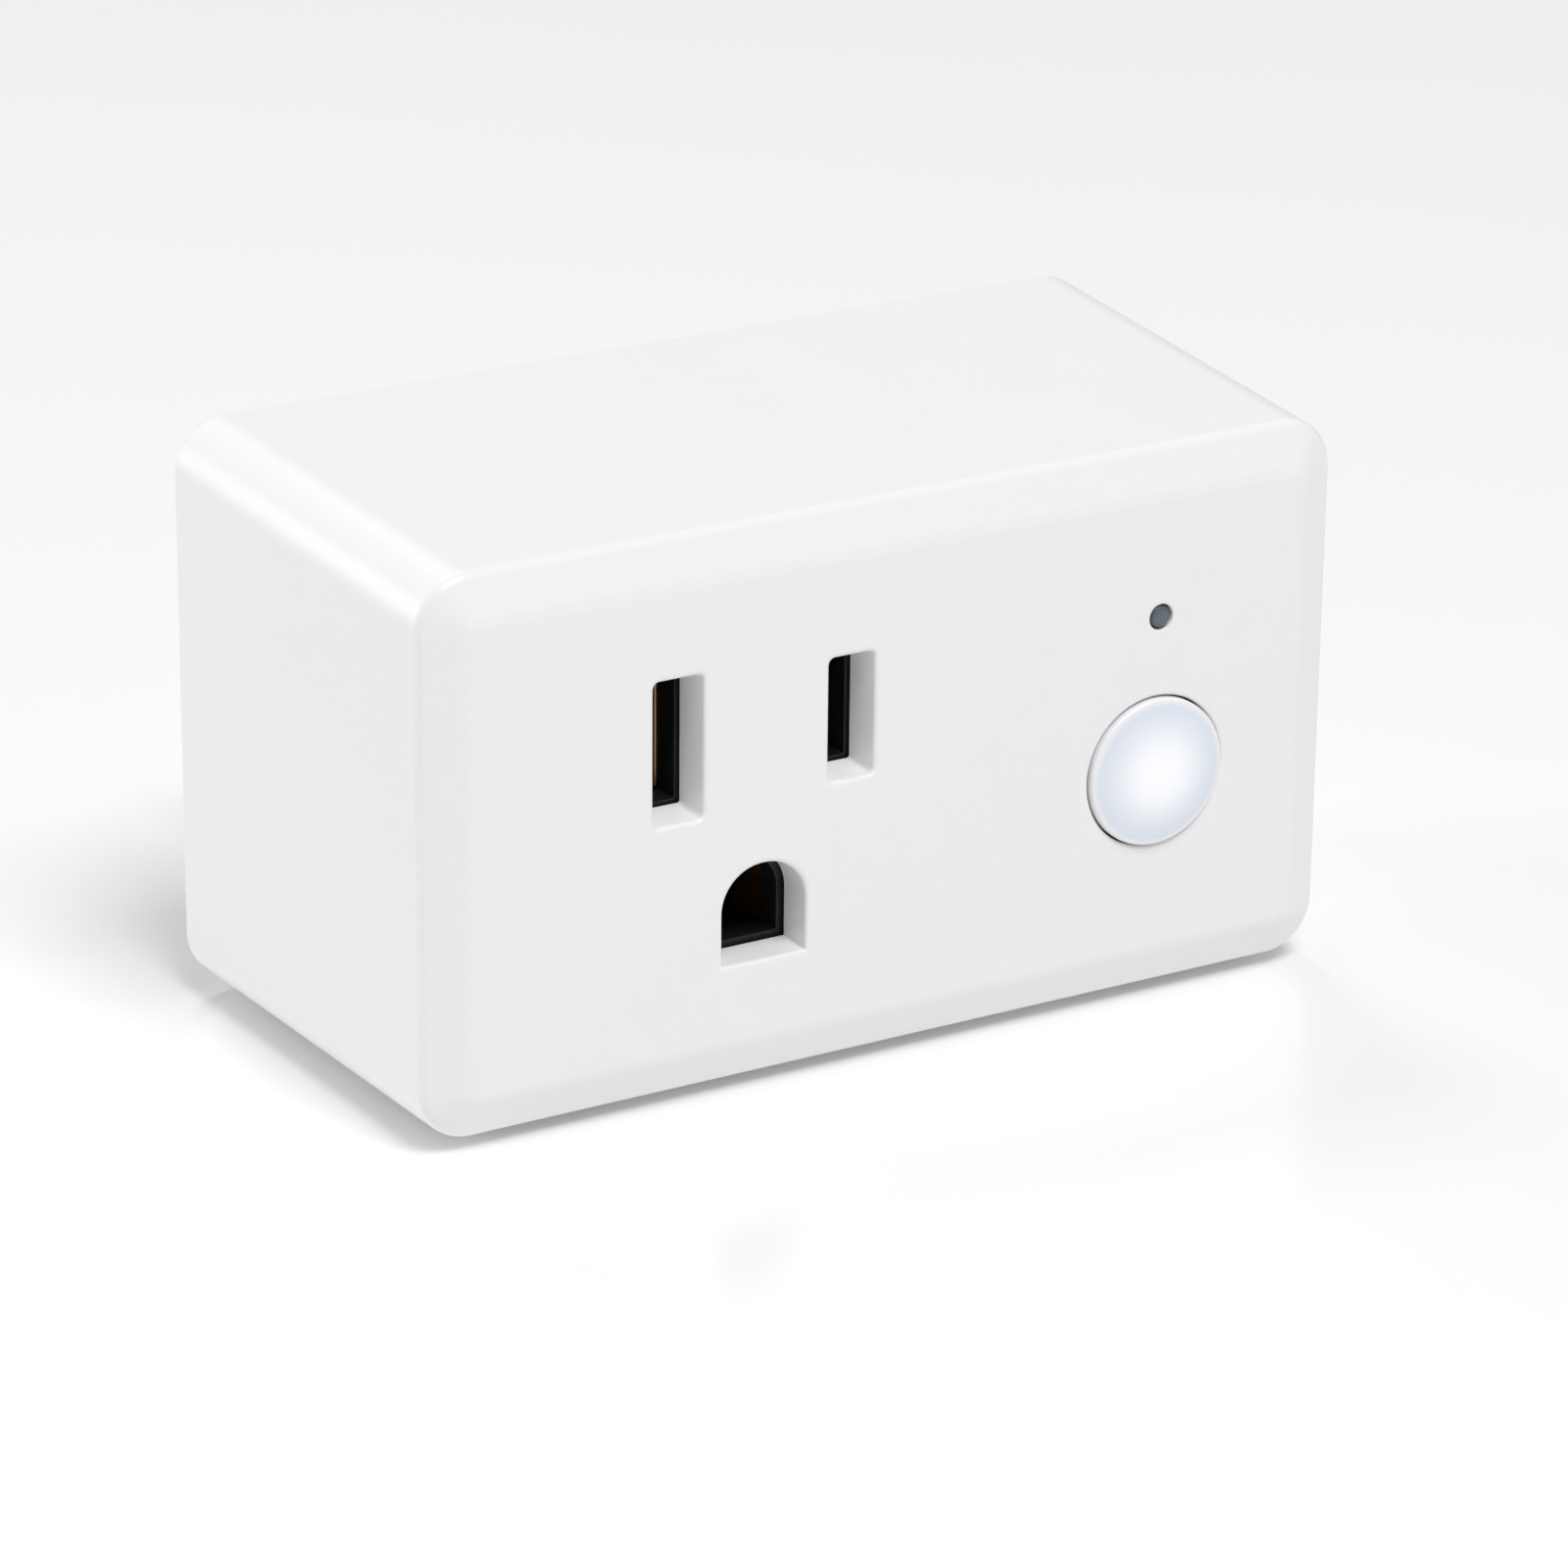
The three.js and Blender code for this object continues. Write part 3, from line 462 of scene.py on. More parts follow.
class Value:
    """A shader socket that does arithmetic. Each operator adds its Math node."""

    def __init__(self, graph: Graph, socket: bpy.types.NodeSocket) -> None:
        """Wraps an output socket of a graph."""
        self.graph = graph
        self.socket = socket

    def _math(self, operation: str, *values: Value | float) -> Value:
        """Adds one Math node on some values."""
        return self.graph.node("ShaderNodeMath", {"operation": operation}, dict(enumerate(values)))

    def __add__(self, other: Value | float) -> Value:
        """The sum."""
        return self._math("ADD", self, other)

    def __radd__(self, other: Value | float) -> Value:
        """The sum, with the number first."""
        return self._math("ADD", other, self)

    def __sub__(self, other: Value | float) -> Value:
        """The difference."""
        return self._math("SUBTRACT", self, other)

    def __rsub__(self, other: Value | float) -> Value:
        """The difference, with the number first."""
        return self._math("SUBTRACT", other, self)

    def __mul__(self, other: Value | float) -> Value:
        """The product."""
        return self._math("MULTIPLY", self, other)

    def __rmul__(self, other: Value | float) -> Value:
        """The product, with the number first."""
        return self._math("MULTIPLY", other, self)

    def __truediv__(self, other: Value | float) -> Value:
        """The quotient."""
        return self._math("DIVIDE", self, other)

    def __rtruediv__(self, other: Value | float) -> Value:
        """The quotient, with the number first."""
        return self._math("DIVIDE", other, self)

    def __pow__(self, other: Value | float) -> Value:
        """The power."""
        return self._math("POWER", self, other)

    def __gt__(self, other: Value | float) -> Value:
        """1 where it is greater, else 0."""
        return self._math("GREATER_THAN", self, other)

    def __lt__(self, other: Value | float) -> Value:
        """1 where it is less, else 0."""
        return self._math("LESS_THAN", self, other)

    def __abs__(self) -> Value:
        """Its size without its sign."""
        return self._math("ABSOLUTE", self)

    def root(self) -> Value:
        """Its square root."""
        return self._math("SQRT", self)

    def wave(self) -> Value:
        """Its sine."""
        return self._math("SINE", self)

    def repeat(self, period: float) -> Value:
        """What is left of it after whole periods."""
        return self._math("FLOORED_MODULO", self, period)

    def fade(self, start: float, end: float) -> Value:
        """Runs smoothly from 0 where it is start to 1 where it is end.

        Args:
            start: Where the fade is 0.
            end: Where the fade is 1, above or below start.

        Returns:
            The faded value.
        """
        return self.graph.node(
            "ShaderNodeMapRange",
            {"interpolation_type": "SMOOTHSTEP", "clamp": True},
            {"Value": self, "From Min": start, "From Max": end, "To Min": 0.0, "To Max": 1.0},
        )


class Graph:
    """The node tree of one material, with its shader."""

    def __init__(self, name: str) -> None:
        """Starts a material of that name."""
        self.material = bpy.data.materials.new(name)
        self.material.use_nodes = True
        self.tree = self.material.node_tree
        self.tree.nodes.clear()
        output = self.tree.nodes.new("ShaderNodeOutputMaterial")
        self.shader = self.tree.nodes.new("ShaderNodeBsdfPrincipled")
        self.tree.links.new(self.shader.outputs[0], output.inputs["Surface"])
        self.place = self.node("ShaderNodeTexCoord", {}, {}, "Object")

    def feed(self, socket: bpy.types.NodeSocket, value: object) -> None:
        """Links a value into a socket, or sets the socket's own number or colour."""
        if isinstance(value, Value):
            self.tree.links.new(value.socket, socket)
        elif isinstance(value, tuple) and socket.type == "RGBA":
            socket.default_value = (*value, 1.0)
        else:
            socket.default_value = value

    def node(self, kind: str, settings: dict, sockets: dict, out: int | str = 0) -> Value:
        """Adds any node.

        Args:
            kind: Its type.
            settings: Its own settings, which are set first. "stops" are a ramp's places and colours.
            sockets: The values or links of its sockets, by name or number.
            out: The output that is wanted.

        Returns:
            That output.
        """
        made = self.tree.nodes.new(kind)
        for name, value in settings.items():
            if name == "stops":
                ramp = made.color_ramp.elements
                while len(ramp) < len(value):
                    ramp.new(0.5)
                for element, (place, colour) in zip(ramp, value):
                    element.position, element.color = place, (*colour, 1.0)
            else:
                setattr(made, name, value)
        for name, value in sockets.items():
            self.feed(made.inputs[name], value)
        return Value(self, made.outputs[out])

    def set(self, **sockets: object) -> None:
        """Sets or links the shader's sockets, with _ for a space in each name."""
        for name, value in sockets.items():
            self.feed(self.shader.inputs[name.replace("_", " ")], value)

    def mix(self, share: Value | float, first: Value | Colour, second: Value | Colour) -> Value:
        """Mixes two colours, the second by that share."""
        return self.node("ShaderNodeMix", {"data_type": "RGBA"}, {0: share, 6: first, 7: second}, 2)

    def axis(self, axis: Axis, centre: float = 0.0) -> Value:
        """The place along one axis, in metres from a centre."""
        return self.node("ShaderNodeSeparateXYZ", {}, {0: self.place}, axis.value) - centre

    def around(self, centre: Vector, axis: Axis) -> Value:
        """The distance from a line along an axis through a centre, in metres."""
        others = [other for other in Axis if other is not axis]
        squares = [self.axis(other, centre[other.value]) ** 2.0 for other in others]
        return (squares[0] + squares[1]).root()

    def noise(self, size: float, detail: float = 3.0, stretch: Sequence[float] = (1, 1, 1)) -> Value:
        """Cloudy noise.

        Args:
            size: How large its spots are, in millimetres.
            detail: How many finer layers it has.
            stretch: How much finer it is along each axis.

        Returns:
            The noise, from 0 to 1 about 0.5.
        """
        scaling = {"operation": "MULTIPLY"}
        where = self.node("ShaderNodeVectorMath", scaling, {0: self.place, 1: tuple(stretch)})
        sockets = {"Vector": where, "Scale": 1 / (size * MM), "Detail": detail}
        return self.node("ShaderNodeTexNoise", {}, sockets)

    def cells(self, size: float) -> Value:
        """Voronoi cells of about that size, in millimetres."""
        return self.node("ShaderNodeTexVoronoi", {}, {"Vector": self.place, "Scale": 1 / (size * MM)})

    def bump(self, height: Value, depth: float, over: Value | None = None) -> Value:
        """Makes a normal from a height.

        Args:
            height: The height, from 0 to 1.
            depth: How deep the whole height is, in millimetres.
            over: The normal underneath, if there is one.

        Returns:
            The normal.
        """
        sockets = {"Height": height, "Distance": depth * MM, "Strength": 1.0}
        if over is not None:
            sockets["Normal"] = over
        return self.node("ShaderNodeBump", {}, sockets)


# ---- Finishes ----


@dataclass(frozen=True)
class Finish:
    """A finish of the record, which knows how to make its material."""

    slot: str
    colour: Colour
    roughness: float

    def material(self) -> bpy.types.Material:
        """Makes the material."""
        graph = Graph(self.slot)
        self.coat(graph)
        return graph.material

    def coat(self, graph: Graph) -> None:
        """Builds the finish on a graph, which each kind of finish does in its own way."""
        raise NotImplementedError

    def shade(self, factor: float) -> Colour:
        """The finish's colour made lighter or darker."""
        return tuple(min(1.0, channel * factor) for channel in self.colour)


@dataclass(frozen=True)
class Moulded(Finish):
    """Plastic from a mould: a fine spark grain, faint flow clouds and uneven gloss."""

    grain: float = 0.16
    depth: float = 0.004
    cloud: float = 0.015
    coat_weight: float = 0.0

    def coat(self, graph: Graph) -> None:
        """Builds the plastic."""
        flow = graph.noise(9.0, 2.0)
        grain = graph.noise(self.grain, 4.0)
        soft = graph.noise(1.6, 2.0)
        graph.set(
            Base_Color=graph.mix(flow, self.shade(1 - self.cloud), self.shade(1 + self.cloud)),
            Roughness=self.roughness - 0.05 + flow * 0.06 + grain * 0.04,
            Normal=graph.bump(soft, self.depth, graph.bump(grain, self.depth)),
            Coat_Weight=self.coat_weight,
            Coat_Roughness=0.08,
        )


@dataclass(frozen=True)
class PaintedGlow(Finish):
    """Frosted plastic with painted light: a painted glow and a painted pool of light from the lamp behind,
    brightest over the lamp and dimmer and cooler towards its rim.
    """

    # rim is the painted shade at the cap's edge, dimmer and cooler than the lit middle; glow is the strength
    # of the painted glow
    rim: Colour = (0.79, 0.84, 0.93)
    radius: float = 5.1
    glow: float = 0.16
    centre: Vector = Vector()

    def coat(self, graph: Graph) -> None:
        """Builds the frosted plastic with its painted glow and its painted pool of light."""
        out = graph.around(self.centre, Axis.Y)
        lit = out.fade(self.radius * 0.92 * MM, self.radius * 0.15 * MM)
        edge = out.fade(self.radius * 0.9 * MM, self.radius * 0.97 * MM)
        frost = graph.noise(0.12, 4.0)
        # The base colour is a painted pool of light: bright over the lamp, fading out to the painted shade of
        # rim
        body = graph.mix(lit, self.rim, self.colour)
        graph.set(
            Base_Color=graph.mix(edge, body, self.shade(1.0)),
            # Painted glow: the cap emits light over its middle, though it is no lamp itself
            Emission_Color=graph.mix(lit, (0.0, 0.0, 0.0), (0.93, 0.95, 1.0)),
            Emission_Strength=self.glow,
            Roughness=self.roughness + frost * 0.08,
            Normal=graph.bump(frost, 0.003),
        )


@dataclass(frozen=True)
class Lens(Finish):
    """A small smoky window: darker towards its rim, with a polished face."""

    radius: float = 0.75
    centre: Vector = Vector()

    def coat(self, graph: Graph) -> None:
        """Builds the window."""
        out = graph.around(self.centre, Axis.Y)
        # The colour darkens from the middle of the window towards its rim
        rim = out.fade(self.radius * 0.55 * MM, self.radius * MM)
        speck = graph.noise(0.2, 3.0)
        graph.set(
            Base_Color=graph.mix(rim, self.colour, self.shade(0.75)),
            Roughness=self.roughness + speck * 0.1,
            Normal=graph.bump(speck, 0.004),
        )


@dataclass(frozen=True)
class Metal(Finish):
    """Bare or plated metal with fine lines one way and a few darker rubs."""

    lines: Axis = Axis.Y
    line: float = 0.05
    tarnish: float = 0.15
    depth: float = 0.003

    def coat(self, graph: Graph) -> None:
        """Builds the metal."""
        stretch = self.lines.across(1.0)
        stretch[self.lines.value] = 0.02
        brushed = graph.noise(self.line, 3.0, stretch)
        rub = graph.noise(2.4, 5.0).fade(0.45, 0.75)
        fine = graph.noise(0.3, 4.0)
        dull = graph.mix(brushed, self.shade(0.92), self.shade(1.06))
        graph.set(
            Base_Color=graph.mix(rub * self.tarnish, dull, self.shade(0.55)),
            Metallic=1.0,
            Roughness=self.roughness + brushed * 0.12 + rub * 0.1,
            Normal=graph.bump(fine, self.depth, graph.bump(brushed, self.depth)),
        )


@dataclass(frozen=True)
class Wound(Finish):
    """Enamelled wire laid turn beside turn round an axis, with painted shade in the grooves between the
    turns.
    """

    axis: Axis = Axis.Y
    wire: float = 0.175

    def coat(self, graph: Graph) -> None:
        """Builds the winding."""
        wander = graph.noise(3.0, 2.0) * (self.wire * 0.6 * MM)
        turn = (graph.axis(self.axis) + wander).repeat(self.wire * MM) / (self.wire * MM)
        crown = 1.0 - abs(turn - 0.5) * 2.0
        round_wire = (crown * (2.0 - crown)) ** 0.5
        glaze = graph.noise(0.8, 3.0)
        # groove is painted shade: the colour darkens where the wire dips between turns
        groove, crest = self.shade(0.35), graph.mix(glaze, self.shade(0.9), self.shade(1.12))
        graph.set(
            Base_Color=graph.mix(round_wire.fade(0.2, 0.8), groove, crest),
            Metallic=0.9,
            Roughness=self.roughness + glaze * 0.15,
            Normal=graph.bump(round_wire, self.wire * 0.3),
        )


@dataclass(frozen=True)
class Printed(Finish):
    """A circuit board: lacquer over copper tracks, bare pads with painted shade in their holes, and the weave
    of the glass below.
    """

    track: float = 1.1
    weave: float = 0.35

    def coat(self, graph: Graph) -> None:
        """Builds the board."""
        pitch = self.track * MM
        across, up = graph.axis(Axis.X), graph.axis(Axis.Z)
        bend = graph.noise(5.0, 0.0)
        bands = abs((across + bend * (4 * MM)).repeat(pitch) / pitch - 0.5)
        rows = abs((up + bend * (3 * MM)).repeat(pitch) / pitch - 0.5)
        zone = graph.cells(6.0) > 0.42
        tracks = (bands < 0.24) * zone + (rows < 0.22) * (1.0 - zone)
        spot = graph.cells(2.3)
        pad = spot < 0.09
        # hole marks the drilled holes, which are painted near-black as painted shade
        hole = spot < 0.045
        turns = 2 * math.pi / (self.weave * MM)
        glass = (across * turns).wave() * (up * turns).wave()
        lacquer = graph.mix(tracks, self.colour, self.shade(1.7))
        tinned = graph.mix(pad, lacquer, (0.62, 0.6, 0.56))
        height = tracks * 0.5 + pad * 0.6 - hole * 1.0
        graph.set(
            Base_Color=graph.mix(hole, tinned, (0.02, 0.02, 0.02)),
            Metallic=pad * (1.0 - hole) * 0.9,
            Roughness=self.roughness + glass * 0.04 - tracks * 0.05,
            Normal=graph.bump(glass, 0.006, graph.bump(height, 0.04)),
            Coat_Weight=(1.0 - pad) * 0.5,
            Coat_Roughness=0.15,
        )


@dataclass(frozen=True)
class Taped(Finish):
    """Plastic tape wrapped round a part, with its overlaps one way and small creases."""

    axis: Axis = Axis.Y
    lap: float = 3.2

    def coat(self, graph: Graph) -> None:
        """Builds the tape."""
        crease = graph.noise(0.9, 5.0)
        wander = graph.noise(6.0, 1.0) * (0.3 * MM)
        lap = (graph.axis(self.axis) + wander).repeat(self.lap * MM) / (self.lap * MM)
        step = lap.fade(0.0, 0.06)
        shadow = step.fade(1.0, 0.4)
        tape = graph.mix(crease, self.shade(0.92), self.shade(1.08))
        graph.set(
            Base_Color=graph.mix(shadow, tape, self.shade(0.6)),
            Roughness=self.roughness + crease * 0.12,
            Normal=graph.bump(crease, 0.02, graph.bump(lap, 0.05)),
            Coat_Weight=0.3,
            Coat_Roughness=0.12,
        )


@dataclass(frozen=True)
class Sleeved(Finish):
    """A shrunk sleeve on a can, with a pale stripe down one side and a bare pressed lid."""

    lid: float = -17.0
    side: Vector = Vector()

    def coat(self, graph: Graph) -> None:
        """Builds the sleeve."""
        fine = graph.noise(0.5, 4.0)
        high = graph.axis(Axis.Z, self.side.z) > 1.2 * MM
        near = abs(graph.axis(Axis.X, self.side.x)) < 0.9 * MM
        bare = graph.axis(Axis.Y) < self.lid * MM
        stripe = high * near * (1.0 - bare)
        sleeve = graph.mix(stripe, self.colour, (0.45, 0.46, 0.48))
        graph.set(
            Base_Color=graph.mix(bare, sleeve, (0.72, 0.72, 0.74)),
            Metallic=bare * 1.0,
            Roughness=self.roughness + fine * 0.1,
            Normal=graph.bump(fine, 0.006),
            Coat_Weight=0.25,
            Coat_Roughness=0.1,
        )


@dataclass(frozen=True)
class Pressed(Finish):
    """Sintered ferrite or dipped resin: speckled, pitted and a little uneven."""

    speck: float = 0.25
    pit: float = 0.02

    def coat(self, graph: Graph) -> None:
        """Builds the surface."""
        speck = graph.noise(self.speck, 5.0)
        pits = graph.cells(self.speck * 2.4).fade(0.25, 0.05)
        cloud = graph.noise(2.5, 2.0)
        graph.set(
            Base_Color=graph.mix(speck, self.shade(0.75), graph.mix(cloud, self.shade(1.0), self.shade(1.3))),
            Roughness=self.roughness + speck * 0.12,
            Normal=graph.bump(1.0 - pits, self.pit, graph.bump(cloud, self.pit)),
        )


# ---- The housing ----


@dataclass
class Housing:
    """The white front half, the back plate and its four screws."""

    side_draft: float = 1.1
    top_draft: float = 1.4
    corner: float = 3.6
    chamfer_inset: float = 3.0
    chamfer_depth: float = 1.5
    soft_edge: float = 0.5
    rim: float = 1.1
    side_wall: float = 2.2
    front_wall: float = 2.7
    gap: float = 0.3
    slot_rim: float = 0.35
    slot_corner: float = 0.45
    slot_taper: float = 0.3
    neutral_slot: tuple[float, float] = (3.65, 9.75)
    line_slot: tuple[float, float] = (3.4, 8.4)
    ground_half: float = 3.1
    ground_foot: float = 3.5
    ground_arch: float = 3.0
    ground_taper: float = 0.1
    button_hole: float = 5.25
    button_rim: float = 0.18
    light_hole: float = 0.9
    light_rim: float = 0.12
    boss: float = 2.9
    pilot: float = 1.4
    rib: float = 1.2
    rib_depth: float = 4.0
    guide: float = 1.0
    guide_depth: float = 2.4
    post: float = 1.8
    post_drop: float = 5.0
    head: float = 2.3
    head_height: float = 1.1
    thread_core: float = 0.85
    thread_crest: float = 1.1
    thread_pitch: float = 0.55
    cross_width: float = 0.6
    cross_length: float = 2.7
    blade_thickness: float = 1.5
    blade_width: float = 6.35
    pin_radius: float = 2.4
    lead_in: float = 0.15

    def __post_init__(self) -> None:
        """Reads the places of the housing and of what it holds off the frame."""
        self.low, self.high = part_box("front_housing")
        self.wall_back = self.low.y + self.front_wall * MM
        self.cover_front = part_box("rear_cover")[0].y
        self.cover_low, self.cover_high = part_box("rear_cover")
        self.screws = [middle(f"cover_screw_{i}") for i in range(1, 5)]
        self.button, self.light = middle("button_cap"), middle("light_pipe")

    def section(self, y: float) -> tuple[Vector, Vector]:
        """The outer section at a depth.

        Args:
            y: The depth, in metres.

        Returns:
            Its lowest and highest corners, with that y in both.
        """
        left = (self.low.y - y) / (self.low.y - self.high.y)
        side, top = self.side_draft * MM * (1 - left), self.top_draft * MM * (1 - left)
        return Vector((self.low.x + side, y, self.low.z)), Vector((self.high.x - side, y, self.high.z - top))

    def grow(self, piece: Workpiece, start: float, end: float) -> None:
        """Resizes the selected end of a piece with the mould's draft.

        Args:
            piece: The piece.
            start: The depth that its section was made for, in metres.
            end: The depth that it is at, in metres.
        """
        old_low, old_high = self.section(start)
        new_low, new_high = self.section(end)
        wide, tall = [(new_high - new_low)[i] / (old_high - old_low)[i] for i in (0, 2)]
        foot = Vector(((self.low.x + self.high.x) / 2, end, self.low.z))
        piece.resize((wide, 1.0, tall), foot)

    def shell(self) -> Workpiece:
        """Makes the hollow front half with its flat chamfer.

        Returns:
            The shell.
        """
        shoulder = self.low.y + self.chamfer_depth * MM
        low, high = self.section(shoulder)
        shell = Workpiece.block("housing_shell", low, Vector((high.x, 0.0, high.z)))
        with shell.editing():
            shell.pick(Kind.FACE, faces(Axis.Y, 1))
            self.grow(shell, shoulder, 0.0)
        shell.bevel(edges_along(Axis.Y), self.corner, 14)
        rebate = self.cover_front - self.gap * MM
        with shell.editing():
            shell.pick(Kind.FACE, faces(Axis.Y, -1))
            shell.inset(self.chamfer_inset, self.chamfer_depth)
            shell.pick(Kind.FACE, faces(Axis.Y, 1))
            shell.inset(self.rim)
            shell.extrude((0, rebate, 0))
            self.grow(shell, 0.0, rebate)
            shell.inset(self.side_wall - self.rim)
            shell.extrude((0, self.wall_back - rebate, 0))
            self.grow(shell, rebate, self.wall_back)
        shell.bevel(edges_at(Axis.Y, self.low.y, shoulder), self.soft_edge, 5)
        shell.bevel(edges_at(Axis.Y, 0.0), 0.2, 3)
        return shell

    def ring(self, name: str, inner: tuple[Vector, Vector], thickness: float, depth: float) -> Workpiece:
        """Makes an upright frame of ribs behind the front wall.

        Args:
            name: What it is called.
            inner: The lowest and highest corners of the room in it, in metres.
            thickness: How thick the ribs are, in millimetres.
            depth: How far they stand off the front wall, in millimetres.

        Returns:
            The frame.
        """
        start, end = self.wall_back - 0.5 * MM, self.wall_back + depth * MM
        grown = Vector((thickness * MM, 0, thickness * MM))
        room_low, room_high = inner
        low, high = room_low - grown, room_high + grown
        outer = Workpiece.block(name, (low.x, start, low.z), (high.x, end, high.z))
        ends = (room_low.x, start - MM, room_low.z), (room_high.x, end + MM, room_high.z)
        outer.cut(Workpiece.block("hole", *ends))
        return outer

    def mouth(
        self, low: Vector, high: Vector, corners: Callable[..., bool], corner: float, taper: float
    ) -> Workpiece:
        """Makes the cutter of an outlet slot, with a soft rim at the front face.

        Args:
            low: The slot's lowest corner, in metres; its y isn't used.
            high: The slot's highest corner.
            corners: The test for the long edges that are rounded.
            corner: Their radius, in millimetres.
            taper: How far each wall leans in towards the back, in millimetres.

        Returns:
            The cutter.
        """
        out = self.slot_rim * MM
        start = self.low.y + 0.004 * MM
        ends = (low.x - out, self.low.y - MM, low.z - out), (high.x + out, start, high.z + out)
        cutter = Workpiece.block("cutter", *ends)
        cutter.bevel(corners, corner + self.slot_rim, 16 if corner > 1 else 6)
        with cutter.editing():
            cutter.pick(Kind.FACE, faces(Axis.Y, 1))
            for (wide, shallow), (narrow, deep) in pairwise(rounding(self.slot_rim, 6)):
                cutter.inset(wide - narrow, deep - shallow)
            cutter.inset(taper, self.front_wall - self.slot_rim + 0.1)
            cutter.extrude((0, MM, 0))
        return cutter

    def round_hole(self, centre: Vector, radius: float, rim: float, sides: int) -> Workpiece:
        """Makes the cutter of a round hole through the front wall.

        Args:
            centre: A point on its axis, in metres.
            radius: Its radius, in millimetres.
            rim: The radius of its soft rim, in millimetres.
            sides: How many sides it has.

        Returns:
            The cutter.
        """
        face = self.low.y / MM
        soft = [(radius + out, face + 0.004 + deep) for out, deep in rounding(rim, 5)]
        profile = [(radius + rim, face - 1), *soft, (radius, self.wall_back / MM + 1)]
        return Workpiece.turned("cutter", centre, profile, sides=sides)

    def cutters(self) -> list[Workpiece]:
        """The cutters of the outlet's slots, the button hole and the light's hole."""
        spread = middle("line_blade").x
        pin = middle("ground_pin")
        upright = edges_along(Axis.Y)
        slots = []
        for x, (wide, tall) in ((-spread, self.neutral_slot), (spread, self.line_slot)):
            centre, half = Vector((x, 0, 0)), Vector((wide / 2 * MM, 0, tall / 2 * MM))
            slots.append(self.mouth(centre - half, centre + half, upright, self.slot_corner, self.slot_taper))
        half = self.ground_half * MM
        low, high = Vector((-half, 0, pin.z - self.ground_foot * MM)), Vector((half, 0, pin.z + half))

        def arch(edge: bmesh.types.BMEdge) -> bool:
            """True for the two long edges at the top of the ground slot."""
            return upright(edge) and edge.verts[0].co.z > pin.z

        slots.append(self.mouth(low, high, arch, self.ground_arch, self.ground_taper))
        slots.append(self.round_hole(self.button, self.button_hole, self.button_rim, 96))
        slots.append(self.round_hole(self.light, self.light_hole, self.light_rim, 40))
        return slots

    def front(self, material: bpy.types.Material) -> None:
        """Makes the front half, with its bosses, ribs and openings, and dresses it.

        Args:
            material: Its plastic.
        """
        shell = self.shell()
        start, end = self.wall_back / MM - 0.5, self.cover_front / MM - self.gap
        for screw in self.screws:
            shell.join(Workpiece.rod("boss", screw, self.boss, start, end, 48))
        room = Vector((self.gap * MM, 0, self.gap * MM))
        carrier_low, carrier_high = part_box("contact_carrier")
        shell.join(self.ring("ribs", (carrier_low - room, carrier_high + room), self.rib, self.rib_depth))
        flange = (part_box("button_cap")[1] - self.button).x / MM + self.gap
        guide_end = self.wall_back / MM + self.guide_depth
        guide = Workpiece.rod("guide", self.button, flange + self.guide, start, guide_end, 72)
        guide.cut(Workpiece.rod("bore", self.button, flange, start - 1, guide_end + 1, 72))
        shell.join(guide)
        for screw in self.screws:
            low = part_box("cover_screw_1")[0].y / MM - 1
            shell.cut(Workpiece.rod("pilot", screw, self.pilot, low, 1, 32))
        shell.cut(*self.cutters())
        shell.smooth()
        shell.fit("housing", "housing_white", material, "front_housing")

    def plate(self, material: bpy.types.Material) -> None:
        """Makes the back plate with its posts and openings, and dresses it.

        Args:
            material: Its plastic.
        """
        low, high = self.cover_low, self.cover_high
        plate = Workpiece.block("back_plate", (low.x, self.cover_front, low.z), high)
        plate.bevel(edges_along(Axis.Y), self.corner - self.rim - self.gap, 10)
        plate.bevel(edges_at(Axis.Y, 0.0), 0.3, 4)
        board_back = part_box("main_board")[1].y / MM
        spread = middle("line_blade").x
        third = (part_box("front_housing")[1].x - self.side_draft * MM - spread) / 3
        left = (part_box("front_housing")[0].x + self.side_draft * MM - spread) / 2
        height = self.screws[2].z - self.post_drop * MM
        start, end = board_back + self.gap, self.cover_front / MM + 0.5
        for x in (left, spread + third, spread + 2 * third):
            plate.join(Workpiece.rod("post", Vector((x, 0, height)), self.post, start, end, 40))
        for screw in self.screws:
            seat = -(0.1 + self.head_height + self.gap)
            radius = self.head + self.gap
            profile = [(self.pilot, self.cover_front / MM - 1), (self.pilot, seat), (radius, seat)]
            profile += [(radius, -0.2), (radius + 0.2, 0.001), (radius + 0.2, 1)]
            plate.cut(Workpiece.turned("sink", screw, profile, sides=48))
        wide = (self.blade_thickness / 2 + self.gap) * MM
        tall = (self.blade_width / 2 + self.gap) * MM
        lead = self.lead_in
        flare = ((wide + lead * MM) / wide, 1, (tall + lead * MM) / tall)
        for node in ("neutral_blade", "line_blade"):
            x = middle(node).x
            ends = (x - wide, self.cover_front - MM, -tall), (x + wide, -lead * MM, tall)
            slot = Workpiece.block("slot", *ends)
            with slot.editing():
                slot.pick(Kind.FACE, faces(Axis.Y, 1))
                slot.extrude((0, (lead + 0.002) * MM, 0))
                slot.resize(flare, Vector((x, 0, 0)))
                slot.extrude((0, MM, 0))
            plate.cut(slot)
        radius = self.pin_radius + self.gap
        profile = [(radius, self.cover_front / MM - 1), (radius, -lead)]
        profile += [(radius + lead, 0.001), (radius + lead, 1)]
        plate.cut(Workpiece.turned("pin_hole", middle("ground_pin"), profile, sides=56))
        plate.smooth()
        plate.fit("housing", "housing_white", material, "rear_cover")

